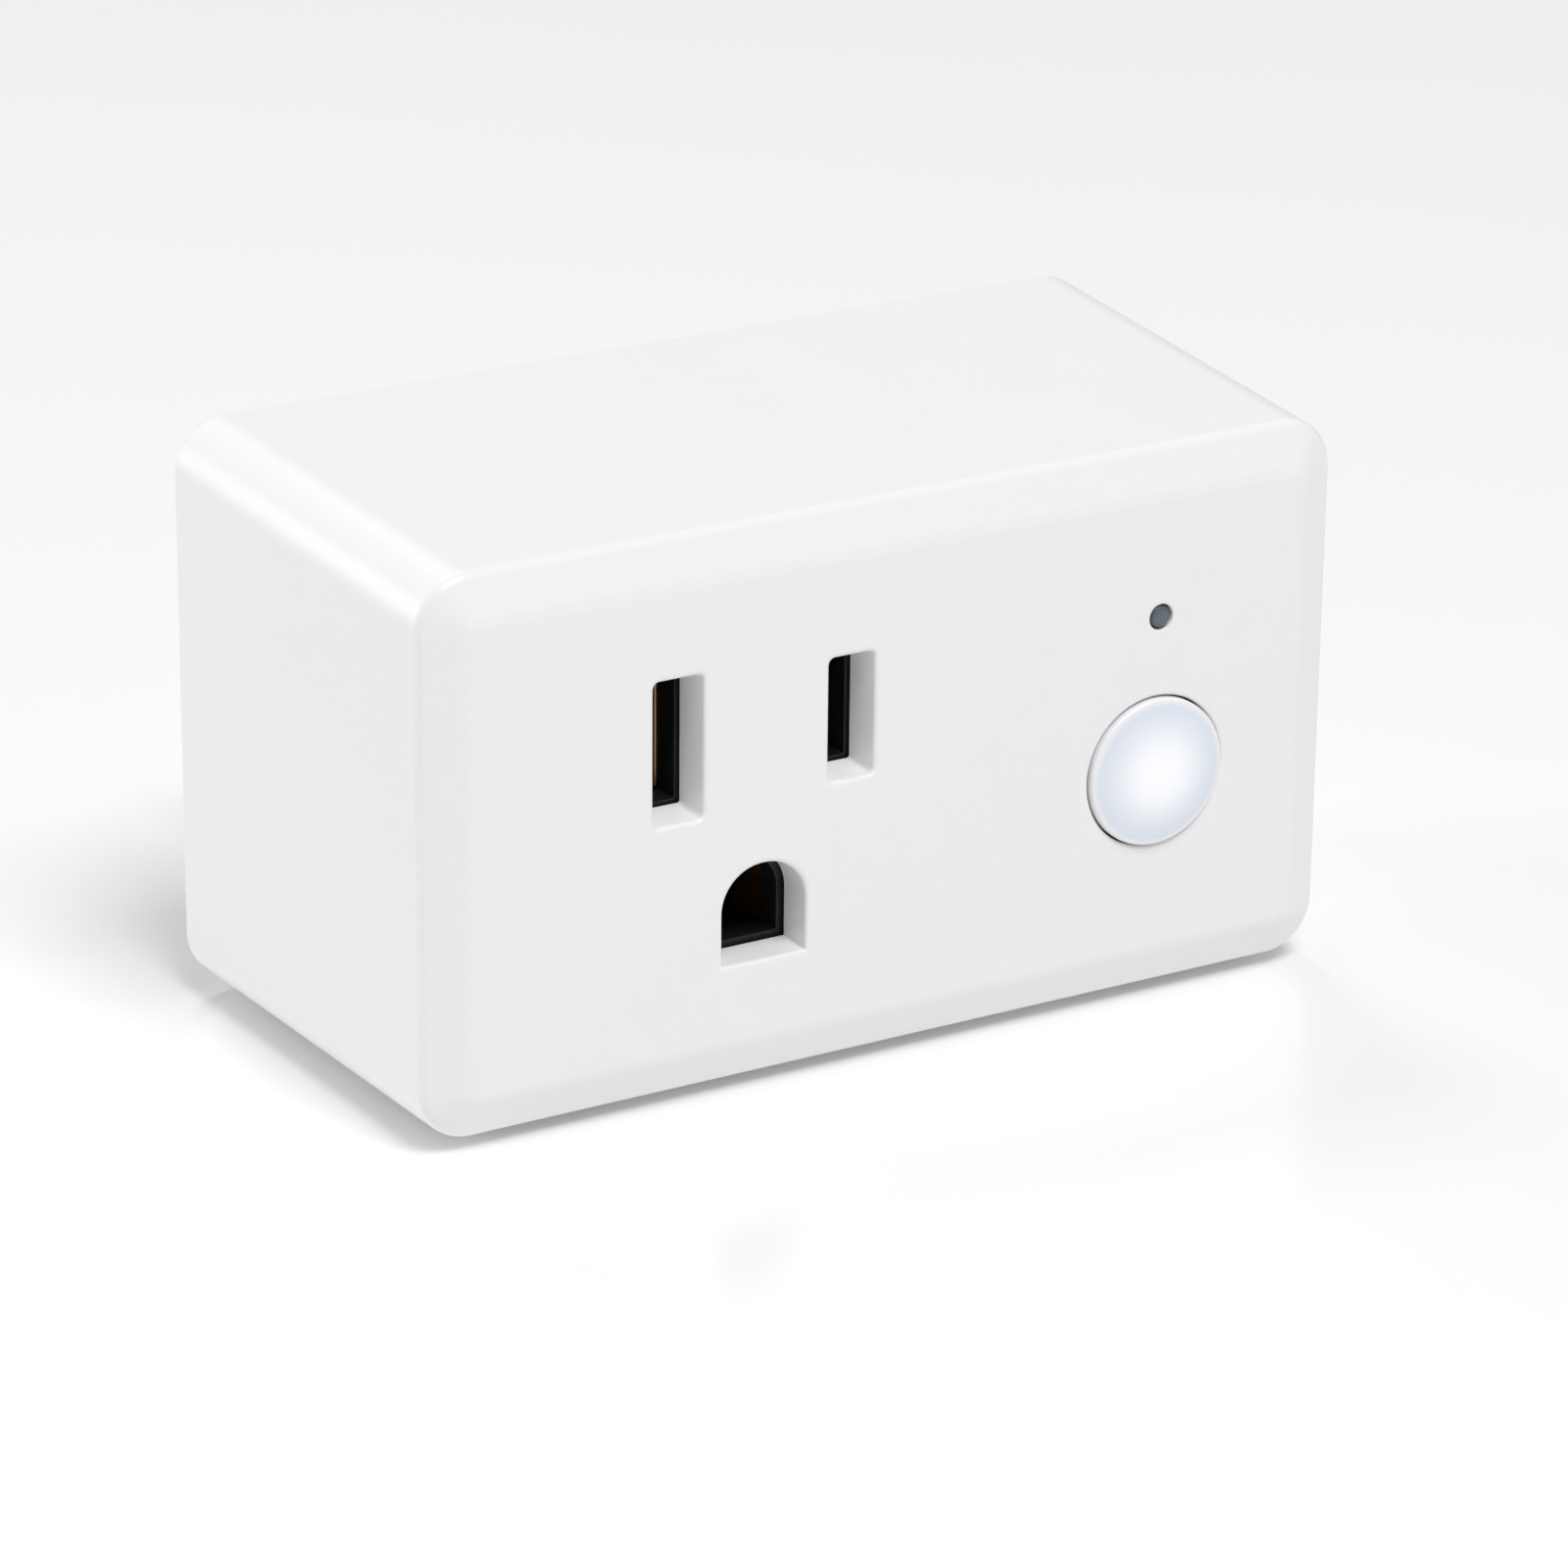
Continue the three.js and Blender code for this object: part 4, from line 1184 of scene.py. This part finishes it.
    def screw_set(self, material: bpy.types.Material) -> None:
        """Makes one screw with its cross recess and sets a copy in each corner.

        Args:
            material: Its steel.
        """
        first = self.screws[0]
        low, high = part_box("cover_screw_1")
        tip, top = low.y / MM, high.y / MM
        seat = top - self.head_height
        core, crest, pitch = self.thread_core, self.thread_crest, self.thread_pitch
        profile = [(0.3, tip), (0.55, tip + 0.15)]
        place = tip + 0.6
        while place < seat - 1.2:
            profile += [(core, place), (crest, place + pitch * 0.45), (crest, place + pitch * 0.55)]
            place += pitch
        profile += [(core, place), (0.95, place + 0.3), (0.95, seat)]
        profile += [(self.head, seat), (self.head, top - 0.45)]
        dome = ((0.06, 0.12), (0.2, 0.22), (0.45, 0.29))
        profile += [(self.head - out, top - 0.45 + deep * 1.5) for out, deep in dome]
        profile += [(0.9, top), (0.4, top)]
        screw = Workpiece.turned("back_screw_1", first, profile, sides=40)
        for wide, tall in ((self.cross_width, self.cross_length), (self.cross_length, self.cross_width)):
            half = Vector((wide / 2 * MM, 0, tall / 2 * MM))
            floor = top - self.head_height * 0.62
            recess = Workpiece.block(
                "recess",
                (first.x - half.x * 0.8, floor * MM, first.z - half.z * 0.8),
                (first.x + half.x * 0.8, (top + 0.5) * MM, first.z + half.z * 0.8),
            )
            with recess.editing():
                recess.pick(Kind.FACE, faces(Axis.Y, 1))
                recess.resize((1.3, 1, 1.3), first)
            screw.cut(recess)
        screw.smooth(40)
        for i, centre in enumerate(self.screws[1:], start=2):
            screw.copy(f"back_screw_{i}", Vector((centre.x - first.x, 0, centre.z - first.z))).fit(
                "housing", "screw_steel", material, f"cover_screw_{i}"
            )
        screw.fit("housing", "screw_steel", material, "cover_screw_1")

    def build(self, shop: Shop) -> None:
        """Builds the housing with finishes from the shop."""
        self.front(shop["housing_white"])
        self.plate(shop["housing_white"])
        self.screw_set(shop["screw_steel"])


# ---- The blades and the ground pin ----


@dataclass
class Prongs:
    """The two flat blades and the round ground pin that go into the wall."""

    thickness: float = 1.5
    width: float = 6.35
    shoulder: float = 9.2
    tail: float = 3.0
    tail_drop: float = -1.1
    nose: float = 1.2
    hole: float = 1.6
    hole_at: float = 11.7
    pin_radius: float = 2.4
    pin_nose: float = 2.2
    plate_gap: float = 0.3
    board_gap: float = 1.1

    def blade(self, name: str, node: str, material: bpy.types.Material) -> None:
        """Makes a blade: a tongue with a hole, a shoulder inside the wall plate and a solder tail.

        Args:
            name: What it is called.
            node: The frame's blade that it stands for.
            material: Its plated brass.
        """
        low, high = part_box(node)
        middle_x = (low.x + high.x) / 2
        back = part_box("rear_cover")[0].y - self.plate_gap * MM
        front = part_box("main_board")[1].y + self.board_gap * MM
        half, step, tail = self.width / 2 * MM, self.shoulder / 2 * MM, self.tail / 2 * MM
        drop = self.tail_drop * MM
        blade = Workpiece.block(name, (low.x, low.y, drop - tail), (high.x, high.y, drop + tail))
        for place in (front, back):
            with blade.editing():
                bpy.ops.mesh.select_all(action="SELECT")
                bpy.ops.mesh.bisect(plane_co=(middle_x, place, 0), plane_no=(0, 1, 0))
        for side in (-1, 1):
            start = drop + side * tail

            def beyond(end: float) -> Callable[[bmesh.types.BMFace], bool]:
                """A test for the faces of this side between the shoulder's front and that end."""
                looks = faces(Axis.Z, side)
                return lambda face: looks(face) and front < face.calc_center_median().y < end

            with blade.editing():
                blade.pick(Kind.FACE, beyond(high.y))
                blade.extrude((0, 0, side * half - start))
                blade.pick(Kind.FACE, beyond(back))
                blade.extrude((0, 0, side * (step - half)))

        with blade.editing():
            bpy.ops.mesh.select_all(action="SELECT")
            bpy.ops.mesh.dissolve_limited(angle_limit=math.radians(1))

        def tip(edge: bmesh.types.BMEdge) -> bool:
            """True for the two short edges at the corners of the tip."""
            return edges_along(Axis.X)(edge) and edges_at(Axis.Y, high.y)(edge)

        blade.bevel(tip, self.nose, 3, 0.3)
        blade.bevel(edges_at(Axis.Y, high.y), 0.3, 3)
        hole = Vector((middle_x, self.hole_at * MM, 0))
        at, reach = middle_x / MM, self.thickness / 2 + 0.5
        blade.cut(Workpiece.rod("punch", hole, self.hole, at - reach, at + reach, 56, Axis.X))
        blade.modify("BEVEL", width=0.1 * MM, segments=2, limit_method="ANGLE", angle_limit=math.radians(50))
        blade.smooth(30)
        blade.fit("housing", "blade_nickel", material, node)

    def pin(self, material: bpy.types.Material) -> None:
        """Makes the ground pin with its flange, shank and round nose.

        Args:
            material: Its plated brass.
        """
        low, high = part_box("ground_pin")
        start, end = low.y / MM, high.y / MM
        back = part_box("rear_cover")[0].y / MM - self.plate_gap
        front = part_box("main_board")[1].y / MM + self.board_gap
        flange = (high.x - low.x) / 2 / MM
        radius, nose = self.pin_radius, self.pin_nose
        turns = [math.pi / 2 * i / 12 for i in range(12)]
        tip = [(radius * math.cos(turn), end - nose + nose * math.sin(turn)) for turn in turns]
        profile = [(1.3, start), (1.5, start + 0.2), (1.5, front), (flange - 0.15, front)]
        profile += [(flange, front + 0.15), (flange, back - 0.15), (flange - 0.15, back), (radius, back)]
        profile += [*tip, (0.12, end)]
        pin = Workpiece.turned("earth_pin", middle("ground_pin"), profile, sides=72)
        pin.smooth(30)
        pin.fit("housing", "blade_nickel", material, "ground_pin")

    def build(self, shop: Shop) -> None:
        """Builds the blades and the pin with finishes from the shop."""
        self.blade("neutral_prong", "neutral_blade", shop["blade_nickel"])
        self.blade("line_prong", "line_blade", shop["blade_nickel"])
        self.pin(shop["blade_nickel"])


# ---- The controls ----


@dataclass
class Controls:
    """The lit push button and the status light in the front face."""

    cap_radius: float = 5.1
    edge_round: float = 0.22
    flange_depth: float = 0.8
    wall: float = 1.2
    crown: float = 1.4
    stem: float = 1.6
    pipe_radius: float = 0.75

    def cap(self, material: bpy.types.Material) -> None:
        """Makes the domed cap with its hollow back, flange and stem.

        Args:
            material: Its frosted plastic.
        """
        low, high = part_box("button_cap")
        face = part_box("front_housing")[0].y / MM
        pole, end = low.y / MM, high.y / MM
        edge = face - 0.35
        flange = (high.x - low.x) / 2 / MM
        flange_front = face + 3.0
        flange_back = flange_front + self.flange_depth
        radius, soft = self.cap_radius, self.edge_round
        flat = radius - soft
        rings = [0.02, 0.12, 0.24, 0.36, 0.48, 0.6, 0.72, 0.84, 0.93, 1.0]
        dome = [(flat * ring, pole + (edge - pole) * ring**2) for ring in rings]
        turns = [math.pi / 2 * i / 5 for i in range(1, 6)]
        side = [(flat + soft * math.sin(turn), edge + soft * (1 - math.cos(turn))) for turn in turns]
        hollow = radius - self.wall
        profile = [*dome, *side, (radius, flange_front), (flange - 0.08, flange_front)]
        profile += [(flange, flange_front + 0.08), (flange, flange_back - 0.08)]
        profile += [(flange - 0.08, flange_back), (hollow + 0.1, flange_back)]
        profile += [(hollow, flange_back - 0.1), (hollow, face + self.crown), (self.stem, face + self.crown)]
        profile += [(self.stem, end - 0.15), (self.stem - 0.15, end)]
        cap = Workpiece.turned("push_cap", middle("button_cap"), profile, sides=96)
        cap.smooth(40)
        cap.fit("button", "button_frosted", material, "button_cap")

    def light(self, material: bpy.types.Material) -> None:
        """Makes the light pipe: a small domed window, a collar and a rod back to its lamp.

        Args:
            material: Its smoky plastic.
        """
        low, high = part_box("light_pipe")
        face, end = low.y / MM, high.y / MM
        collar = (high.x - low.x) / 2 / MM
        wall = face + 3.0
        radius = self.pipe_radius
        profile = [(0.06, face), (0.3, face + 0.015), (0.52, face + 0.05), (0.68, face + 0.11)]
        profile += [(radius, face + 0.2), (radius, wall), (collar - 0.1, wall), (collar, wall + 0.1)]
        profile += [(collar, wall + 0.9), (collar - 0.1, wall + 1.0), (radius, wall + 1.0)]
        profile += [(radius, end - 0.1), (radius - 0.1, end)]
        pipe = Workpiece.turned("light_window", middle("light_pipe"), profile, sides=48)
        pipe.smooth(40)
        pipe.fit("housing", "light_pipe", material, "light_pipe")

    def build(self, shop: Shop) -> None:
        """Builds the controls with finishes from the shop."""
        self.cap(shop["button_frosted"])
        self.light(shop["light_pipe"])


# ---- What is inside ----


@dataclass(frozen=True)
class Member:
    """One inner piece that keeps its node's shape, with its edges rounded off."""

    name: str
    node: str
    slot: str
    edge: float
    body: str = "housing"

    def build(self, shop: Shop) -> None:
        """Makes the piece with its finish from the shop."""
        piece = Workpiece.refined(self.name, self.node, self.edge)
        piece.fit(self.body, self.slot, shop[self.slot], self.node)


def fill(shop: Shop, *members: Member) -> None:
    """Builds every one of these members with finishes from the shop."""
    for member in members:
        member.build(shop)


def coil(name: str, node: str, axis: Axis, bore: float, wire: float) -> Workpiece:
    """Winds a coil: a sleeve with one ridge for each turn of its wire.

    Args:
        name: What the piece is called.
        node: The node that it stands for.
        axis: The axis that it is wound about.
        bore: The radius of what it is wound on, in millimetres.
        wire: About how thick its wire is, in millimetres.

    Returns:
        The new piece.
    """
    low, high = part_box(node)
    start, end = low[axis.value] / MM, high[axis.value] / MM
    radius = (high.z - low.z) / 2 / MM
    rounds = round((end - start) / wire)
    pitch = (end - start) / rounds
    steps = [(0.0, 0.5), (0.2, 0.17), (0.5, 0.0), (0.8, 0.17)]
    profile = [
        (radius - pitch * dip, start + pitch * (i + along)) for i in range(rounds) for along, dip in steps
    ]
    profile.append((radius - pitch / 2, end))
    piece = Workpiece.turned(name, middle(node), profile, axis, 48)
    piece.cut(Workpiece.rod("bore", middle(node), bore, start - 0.5, end + 0.5, 48, axis))
    piece.smooth(50)
    return piece


@dataclass
class Outlet:
    """The black insert behind the slots, with its cap and the three bronze contacts."""

    moulded_edge: float = 0.2
    sheet_edge: float = 0.1

    def build(self, shop: Shop) -> None:
        """Builds the outlet with finishes from the shop."""
        fill(
            shop,
            Member("socket_insert", "contact_carrier", "insert_black", self.moulded_edge),
            Member("insert_cap", "carrier_cap", "insert_black", self.moulded_edge),
            Member("neutral_clip", "neutral_contact", "contact_bronze", self.sheet_edge),
            Member("line_clip", "line_contact", "contact_bronze", self.sheet_edge),
            Member("earth_clip", "ground_contact", "contact_bronze", self.sheet_edge),
        )


@dataclass
class Boards:
    """The two circuit boards and the small parts on them."""

    board_edge: float = 0.06
    part_edge: float = 0.12
    bent_edge: float = 0.25
    lamp_edge: float = 0.3

    def build(self, shop: Shop) -> None:
        """Builds the boards with finishes from the shop."""
        fill(
            shop,
            Member("power_board", "main_board", "board_green", self.board_edge),
            Member("front_board", "control_board", "board_green", self.board_edge),
            Member("pin_strip", "board_header", "part_black", self.part_edge),
            Member("radio_board", "wifi_board", "board_blue", self.board_edge),
            Member("radio_shield", "wifi_shield", "shield_steel", self.bent_edge),
            Member("radio_chip", "wifi_chip", "part_black", self.board_edge),
            Member("switch_body", "tact_switch", "part_black", self.part_edge),
            Member("switch_nub", "switch_plunger", "bobbin_cream", self.bent_edge, "plunger"),
            Member("ring_lamp_1", "button_led_1", "led_resin", self.lamp_edge),
            Member("ring_lamp_2", "button_led_2", "led_resin", self.lamp_edge),
            Member("state_lamp", "status_led", "led_resin", self.lamp_edge),
        )


@dataclass
class Relay:
    """The relay: its case, base, coil, iron, swinging armature and contacts."""

    case_edge: float = 0.5
    iron_edge: float = 0.15
    spring_edge: float = 0.08
    core: float = 2.1
    wire: float = 0.28

    def build(self, shop: Shop) -> None:
        """Builds the relay with finishes from the shop."""
        fill(
            shop,
            Member("relay_cover", "relay_case", "relay_blue", self.case_edge),
            Member("relay_foot", "relay_base", "part_black", self.iron_edge),
            Member("coil_former", "relay_bobbin", "bobbin_cream", self.iron_edge),
            Member("coil_iron", "relay_yoke", "relay_iron", self.iron_edge),
            Member("swing_iron", "relay_armature", "relay_iron", self.iron_edge, "armature"),
            Member("swing_spring", "relay_moving_contact", "contact_bronze", self.spring_edge, "armature"),
            Member("fixed_spring", "relay_fixed_contact", "contact_bronze", self.spring_edge),
        )
        winding = coil("relay_coil", "relay_winding", Axis.X, self.core, self.wire)
        winding.fit("housing", "winding_copper", shop.relay_wire, "relay_winding")


@dataclass
class Power:
    """The parts of the power supply on the main board."""

    pressed_edge: float = 0.3
    chip_edge: float = 0.12
    disc_edge: float = 0.6
    film_edge: float = 0.4
    groove: float = 0.35
    vent_wall: float = 1.0
    choke_core: float = 1.7
    choke_wire: float = 0.35

    def can(self, name: str, node: str, material: bpy.types.Material) -> None:
        """Makes a capacitor: a sleeved can, crimped near its foot, with a rolled rim round its lid.

        Args:
            name: What the piece is called.
            node: The node that it stands for.
            material: Its sleeve.
        """
        low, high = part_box(node)
        radius, lid, foot = (high.x - low.x) / 2 / MM, low.y / MM, high.y / MM
        waist, vent = radius - self.groove, radius - self.vent_wall
        profile = [(radius - 0.9, foot), (radius - 0.3, foot), (radius - 0.08, foot - 0.1)]
        profile += [(radius, foot - 0.3), (radius, foot - 1.2), (radius - 0.1, foot - 1.4)]
        profile += [(waist, foot - 1.65), (waist, foot - 1.95), (radius - 0.1, foot - 2.2)]
        profile += [(radius, foot - 2.4), (radius, lid + 0.5), (radius - 0.12, lid + 0.18)]
        profile += [(radius - 0.4, lid), (vent, lid), (vent - 0.15, lid + 0.2), (0.4, lid + 0.2)]
        can = Workpiece.turned(name, middle(node), profile, sides=64)
        can.smooth(40)
        can.fit("housing", "sleeve_black", material, node)

    def build(self, shop: Shop) -> None:
        """Builds the supply with finishes from the shop."""
        self.can("input_can", "input_capacitor", shop["sleeve_black"])
        self.can("output_can", "output_capacitor", shop["sleeve_black"])
        winding = coil("choke_coil", "choke_winding", Axis.Y, self.choke_core, self.choke_wire)
        winding.fit("housing", "winding_copper", shop["winding_copper"], "choke_winding")
        fill(
            shop,
            Member("transformer_ferrite", "transformer_core", "ferrite_grey", self.pressed_edge),
            Member("transformer_coil", "transformer_winding", "tape_yellow", self.pressed_edge),
            Member("choke_ferrite", "choke_core", "ferrite_grey", self.pressed_edge),
            Member("fuse_body", "fuse", "fuse_brown", self.pressed_edge),
            Member("surge_disc", "varistor", "varistor_blue", self.disc_edge),
            Member("film_capacitor", "safety_capacitor", "tape_yellow", self.film_edge),
            Member("rectifier_body", "bridge_rectifier", "part_black", self.chip_edge),
            Member("converter_chip", "power_chip", "part_black", self.chip_edge),
        )


# ---- Finishes by slot, and the frame's own nodes ----


class Shop:
    """Every finish of the plug, each made once and handed out by its slot."""

    def __init__(self) -> None:
        """Mixes the finishes."""
        button, light = middle("button_cap"), middle("light_pipe")
        can, lid = middle("input_capacitor"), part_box("input_capacitor")[0].y / MM + 0.3
        finishes: list[Finish] = [
            Moulded("housing_white", (0.92, 0.917, 0.928), 0.34, grain=0.14, depth=0.0014, cloud=0.004),
            Moulded("insert_black", (0.008, 0.008, 0.009), 0.5, grain=0.2, depth=0.006),
            PaintedGlow("button_frosted", (0.92, 0.92, 0.94), 0.3, centre=button),
            Lens("light_pipe", (0.11, 0.135, 0.155), 0.25, centre=light),
            Metal("blade_nickel", (0.62, 0.6, 0.56), 0.22, lines=Axis.Y),
            Metal("contact_bronze", (0.58, 0.36, 0.16), 0.3, lines=Axis.Y),
            Metal("screw_steel", (0.45, 0.46, 0.48), 0.28, lines=Axis.X),
            Metal("shield_steel", (0.5, 0.51, 0.53), 0.25, lines=Axis.X),
            Metal("relay_iron", (0.4, 0.41, 0.42), 0.35, lines=Axis.Z),
            Wound("winding_copper", (0.55, 0.2, 0.07), 0.25),
            Printed("board_green", (0.012, 0.085, 0.035), 0.35),
            Printed("board_blue", (0.012, 0.04, 0.16), 0.35, track=0.8),
            Moulded("part_black", (0.012, 0.012, 0.013), 0.45, grain=0.12, depth=0.008, cloud=0.1),
            Moulded("bobbin_cream", (0.78, 0.72, 0.6), 0.45, grain=0.2, depth=0.005),
            Moulded("relay_blue", (0.03, 0.15, 0.45), 0.35, grain=0.25, depth=0.004, coat_weight=0.3),
            Pressed("ferrite_grey", (0.03, 0.03, 0.034), 0.55),
            Taped("tape_yellow", (0.7, 0.44, 0.04), 0.35),
            Sleeved("sleeve_black", (0.012, 0.013, 0.017), 0.3, side=can, lid=lid),
            Pressed("fuse_brown", (0.15, 0.075, 0.045), 0.4, pit=0.008),
            Pressed("varistor_blue", (0.025, 0.12, 0.4), 0.35, speck=0.5, pit=0.02),
            Moulded("led_resin", (0.85, 0.8, 0.55), 0.2, grain=0.2, depth=0.002, coat_weight=0.6),
        ]
        self.made = {finish.slot: finish.material() for finish in finishes}
        along = Wound("winding_copper", (0.55, 0.2, 0.07), 0.25, axis=Axis.X, wire=0.14)
        self.relay_wire = along.material()

    def __getitem__(self, slot: str) -> bpy.types.Material:
        """The material of a slot."""
        return self.made[slot]

    def dress(self) -> None:
        """Gives every node of the frame the finish of its slot."""
        slots = {part["node"]: part["material_slot"] for part in frame["record"]["subparts"]}
        for name, node in frame["nodes"].items():
            for place in node.material_slots:
                place.material = self.made[slots[name]]
            LOG.info("%s: %s", name, slots[name])


# ---- The studio ----


@dataclass(frozen=True)
class SoftLight:
    """A square soft light: its place and side in metres, and its power in watts."""

    name: str
    place: tuple[float, float, float]
    size: float
    power: float


@dataclass
class Studio:
    """A pale floor, a white surround, three soft lights and the camera."""

    azimuth: float = -30.92
    elevation: float = 21.34
    roll: float = 0.57
    aim: tuple[float, float, float] = (8.9, -15.0, -4.9)
    shift: tuple[float, float] = (-2.67, 5.85)
    distance: float = 436.99
    lens: float = 151.31
    sensor: float = 36.0
    surround: float = 0.32
    glow: float = 0.07
    clearance: float = 0.9
    floor_side: float = 6.0
    lights: tuple[SoftLight, ...] = (
        SoftLight("front_light", (0.0, -1.04, 1.84), 0.9, 29.0),
        SoftLight("side_light", (-0.78, 0.62, 0.18), 0.45, 3.4),
        SoftLight("overhead", (0.1, 0.6, 0.9), 0.3, 2.0),
    )

    def floor(self) -> None:
        """Lays a wide pale floor with a faint polish under the plug."""
        bpy.ops.object.select_all(action="DESELECT")
        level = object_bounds()[0].z - self.clearance * MM
        bpy.ops.mesh.primitive_plane_add(size=self.floor_side, location=(0, 0, level))
        floor = Workpiece("floor")
        graph = Graph("floor_white")
        cloud = graph.noise(120.0, 2.0)
        graph.set(
            Base_Color=graph.mix(cloud, (0.93, 0.93, 0.93), (0.95, 0.95, 0.95)),
            Roughness=0.16 + cloud * 0.04,
            Emission_Color=(1.0, 1.0, 1.0),
            Emission_Strength=self.glow,
        )
        floor.thing.data.materials.append(graph.material)
        floor.thing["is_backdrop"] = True

    def hang(self, light: SoftLight) -> None:
        """Hangs a soft light that looks at the plug.

        Args:
            light: The light.
        """
        data = bpy.data.lights.new(light.name, "AREA")
        data.shape, data.size, data.energy = "SQUARE", light.size, light.power
        place = Vector(light.place)
        lamp = bpy.data.objects.new(light.name, data)
        lamp.location = place
        lamp.rotation_euler = (Vector(self.aim) * MM - place).to_track_quat("-Z", "Y").to_euler()
        bpy.context.scene.collection.objects.link(lamp)

    def world(self) -> None:
        """Surrounds everything with plain white light."""
        world = bpy.data.worlds.new("surround")
        world.use_nodes = True
        background = world.node_tree.nodes["Background"]
        background.inputs["Color"].default_value = (1.0, 1.0, 1.0, 1.0)
        background.inputs["Strength"].default_value = self.surround
        bpy.context.scene.world = world

    def camera(self) -> None:
        """Sets the camera up, a little above the plug and to its left."""
        turn, tilt, roll = [math.radians(angle) for angle in (self.azimuth, self.elevation, self.roll)]
        back = Vector((math.sin(turn) * math.cos(tilt), -math.cos(turn) * math.cos(tilt), math.sin(tilt)))
        right = (-back).cross(Vector((0, 0, 1))).normalized()
        up = right.cross(-back)
        level = right * math.cos(roll) + up * math.sin(roll)
        upright = up * math.cos(roll) - right * math.sin(roll)
        data = bpy.data.cameras.new("camera")
        data.lens, data.sensor_width = self.lens, self.sensor
        camera = bpy.data.objects.new("camera", data)
        place = Vector(self.aim) - level * self.shift[0] - upright * self.shift[1] + back * self.distance
        matrix = camera.matrix_world.copy()
        for i, axis in enumerate((level, upright, back, place * MM)):
            for row in range(3):
                matrix[row][i] = axis[row]
        camera.matrix_world = matrix
        data.clip_start, data.clip_end = 0.01, 20.0
        bpy.context.scene.collection.objects.link(camera)
        bpy.context.scene.camera = camera

    def build(self) -> None:
        """Sets the studio up."""
        self.floor()
        self.world()
        for light in self.lights:
            self.hang(light)
        self.camera()
        bpy.context.scene.view_settings.view_transform = "Standard"


def main() -> None:
    """Builds the plug and its studio."""
    shop = Shop()
    for assembly in (Housing(), Prongs(), Controls(), Outlet(), Boards(), Relay(), Power()):
        assembly.build(shop)
    shop.dress()
    Studio().build()


if __name__ == "__main__":
    main()
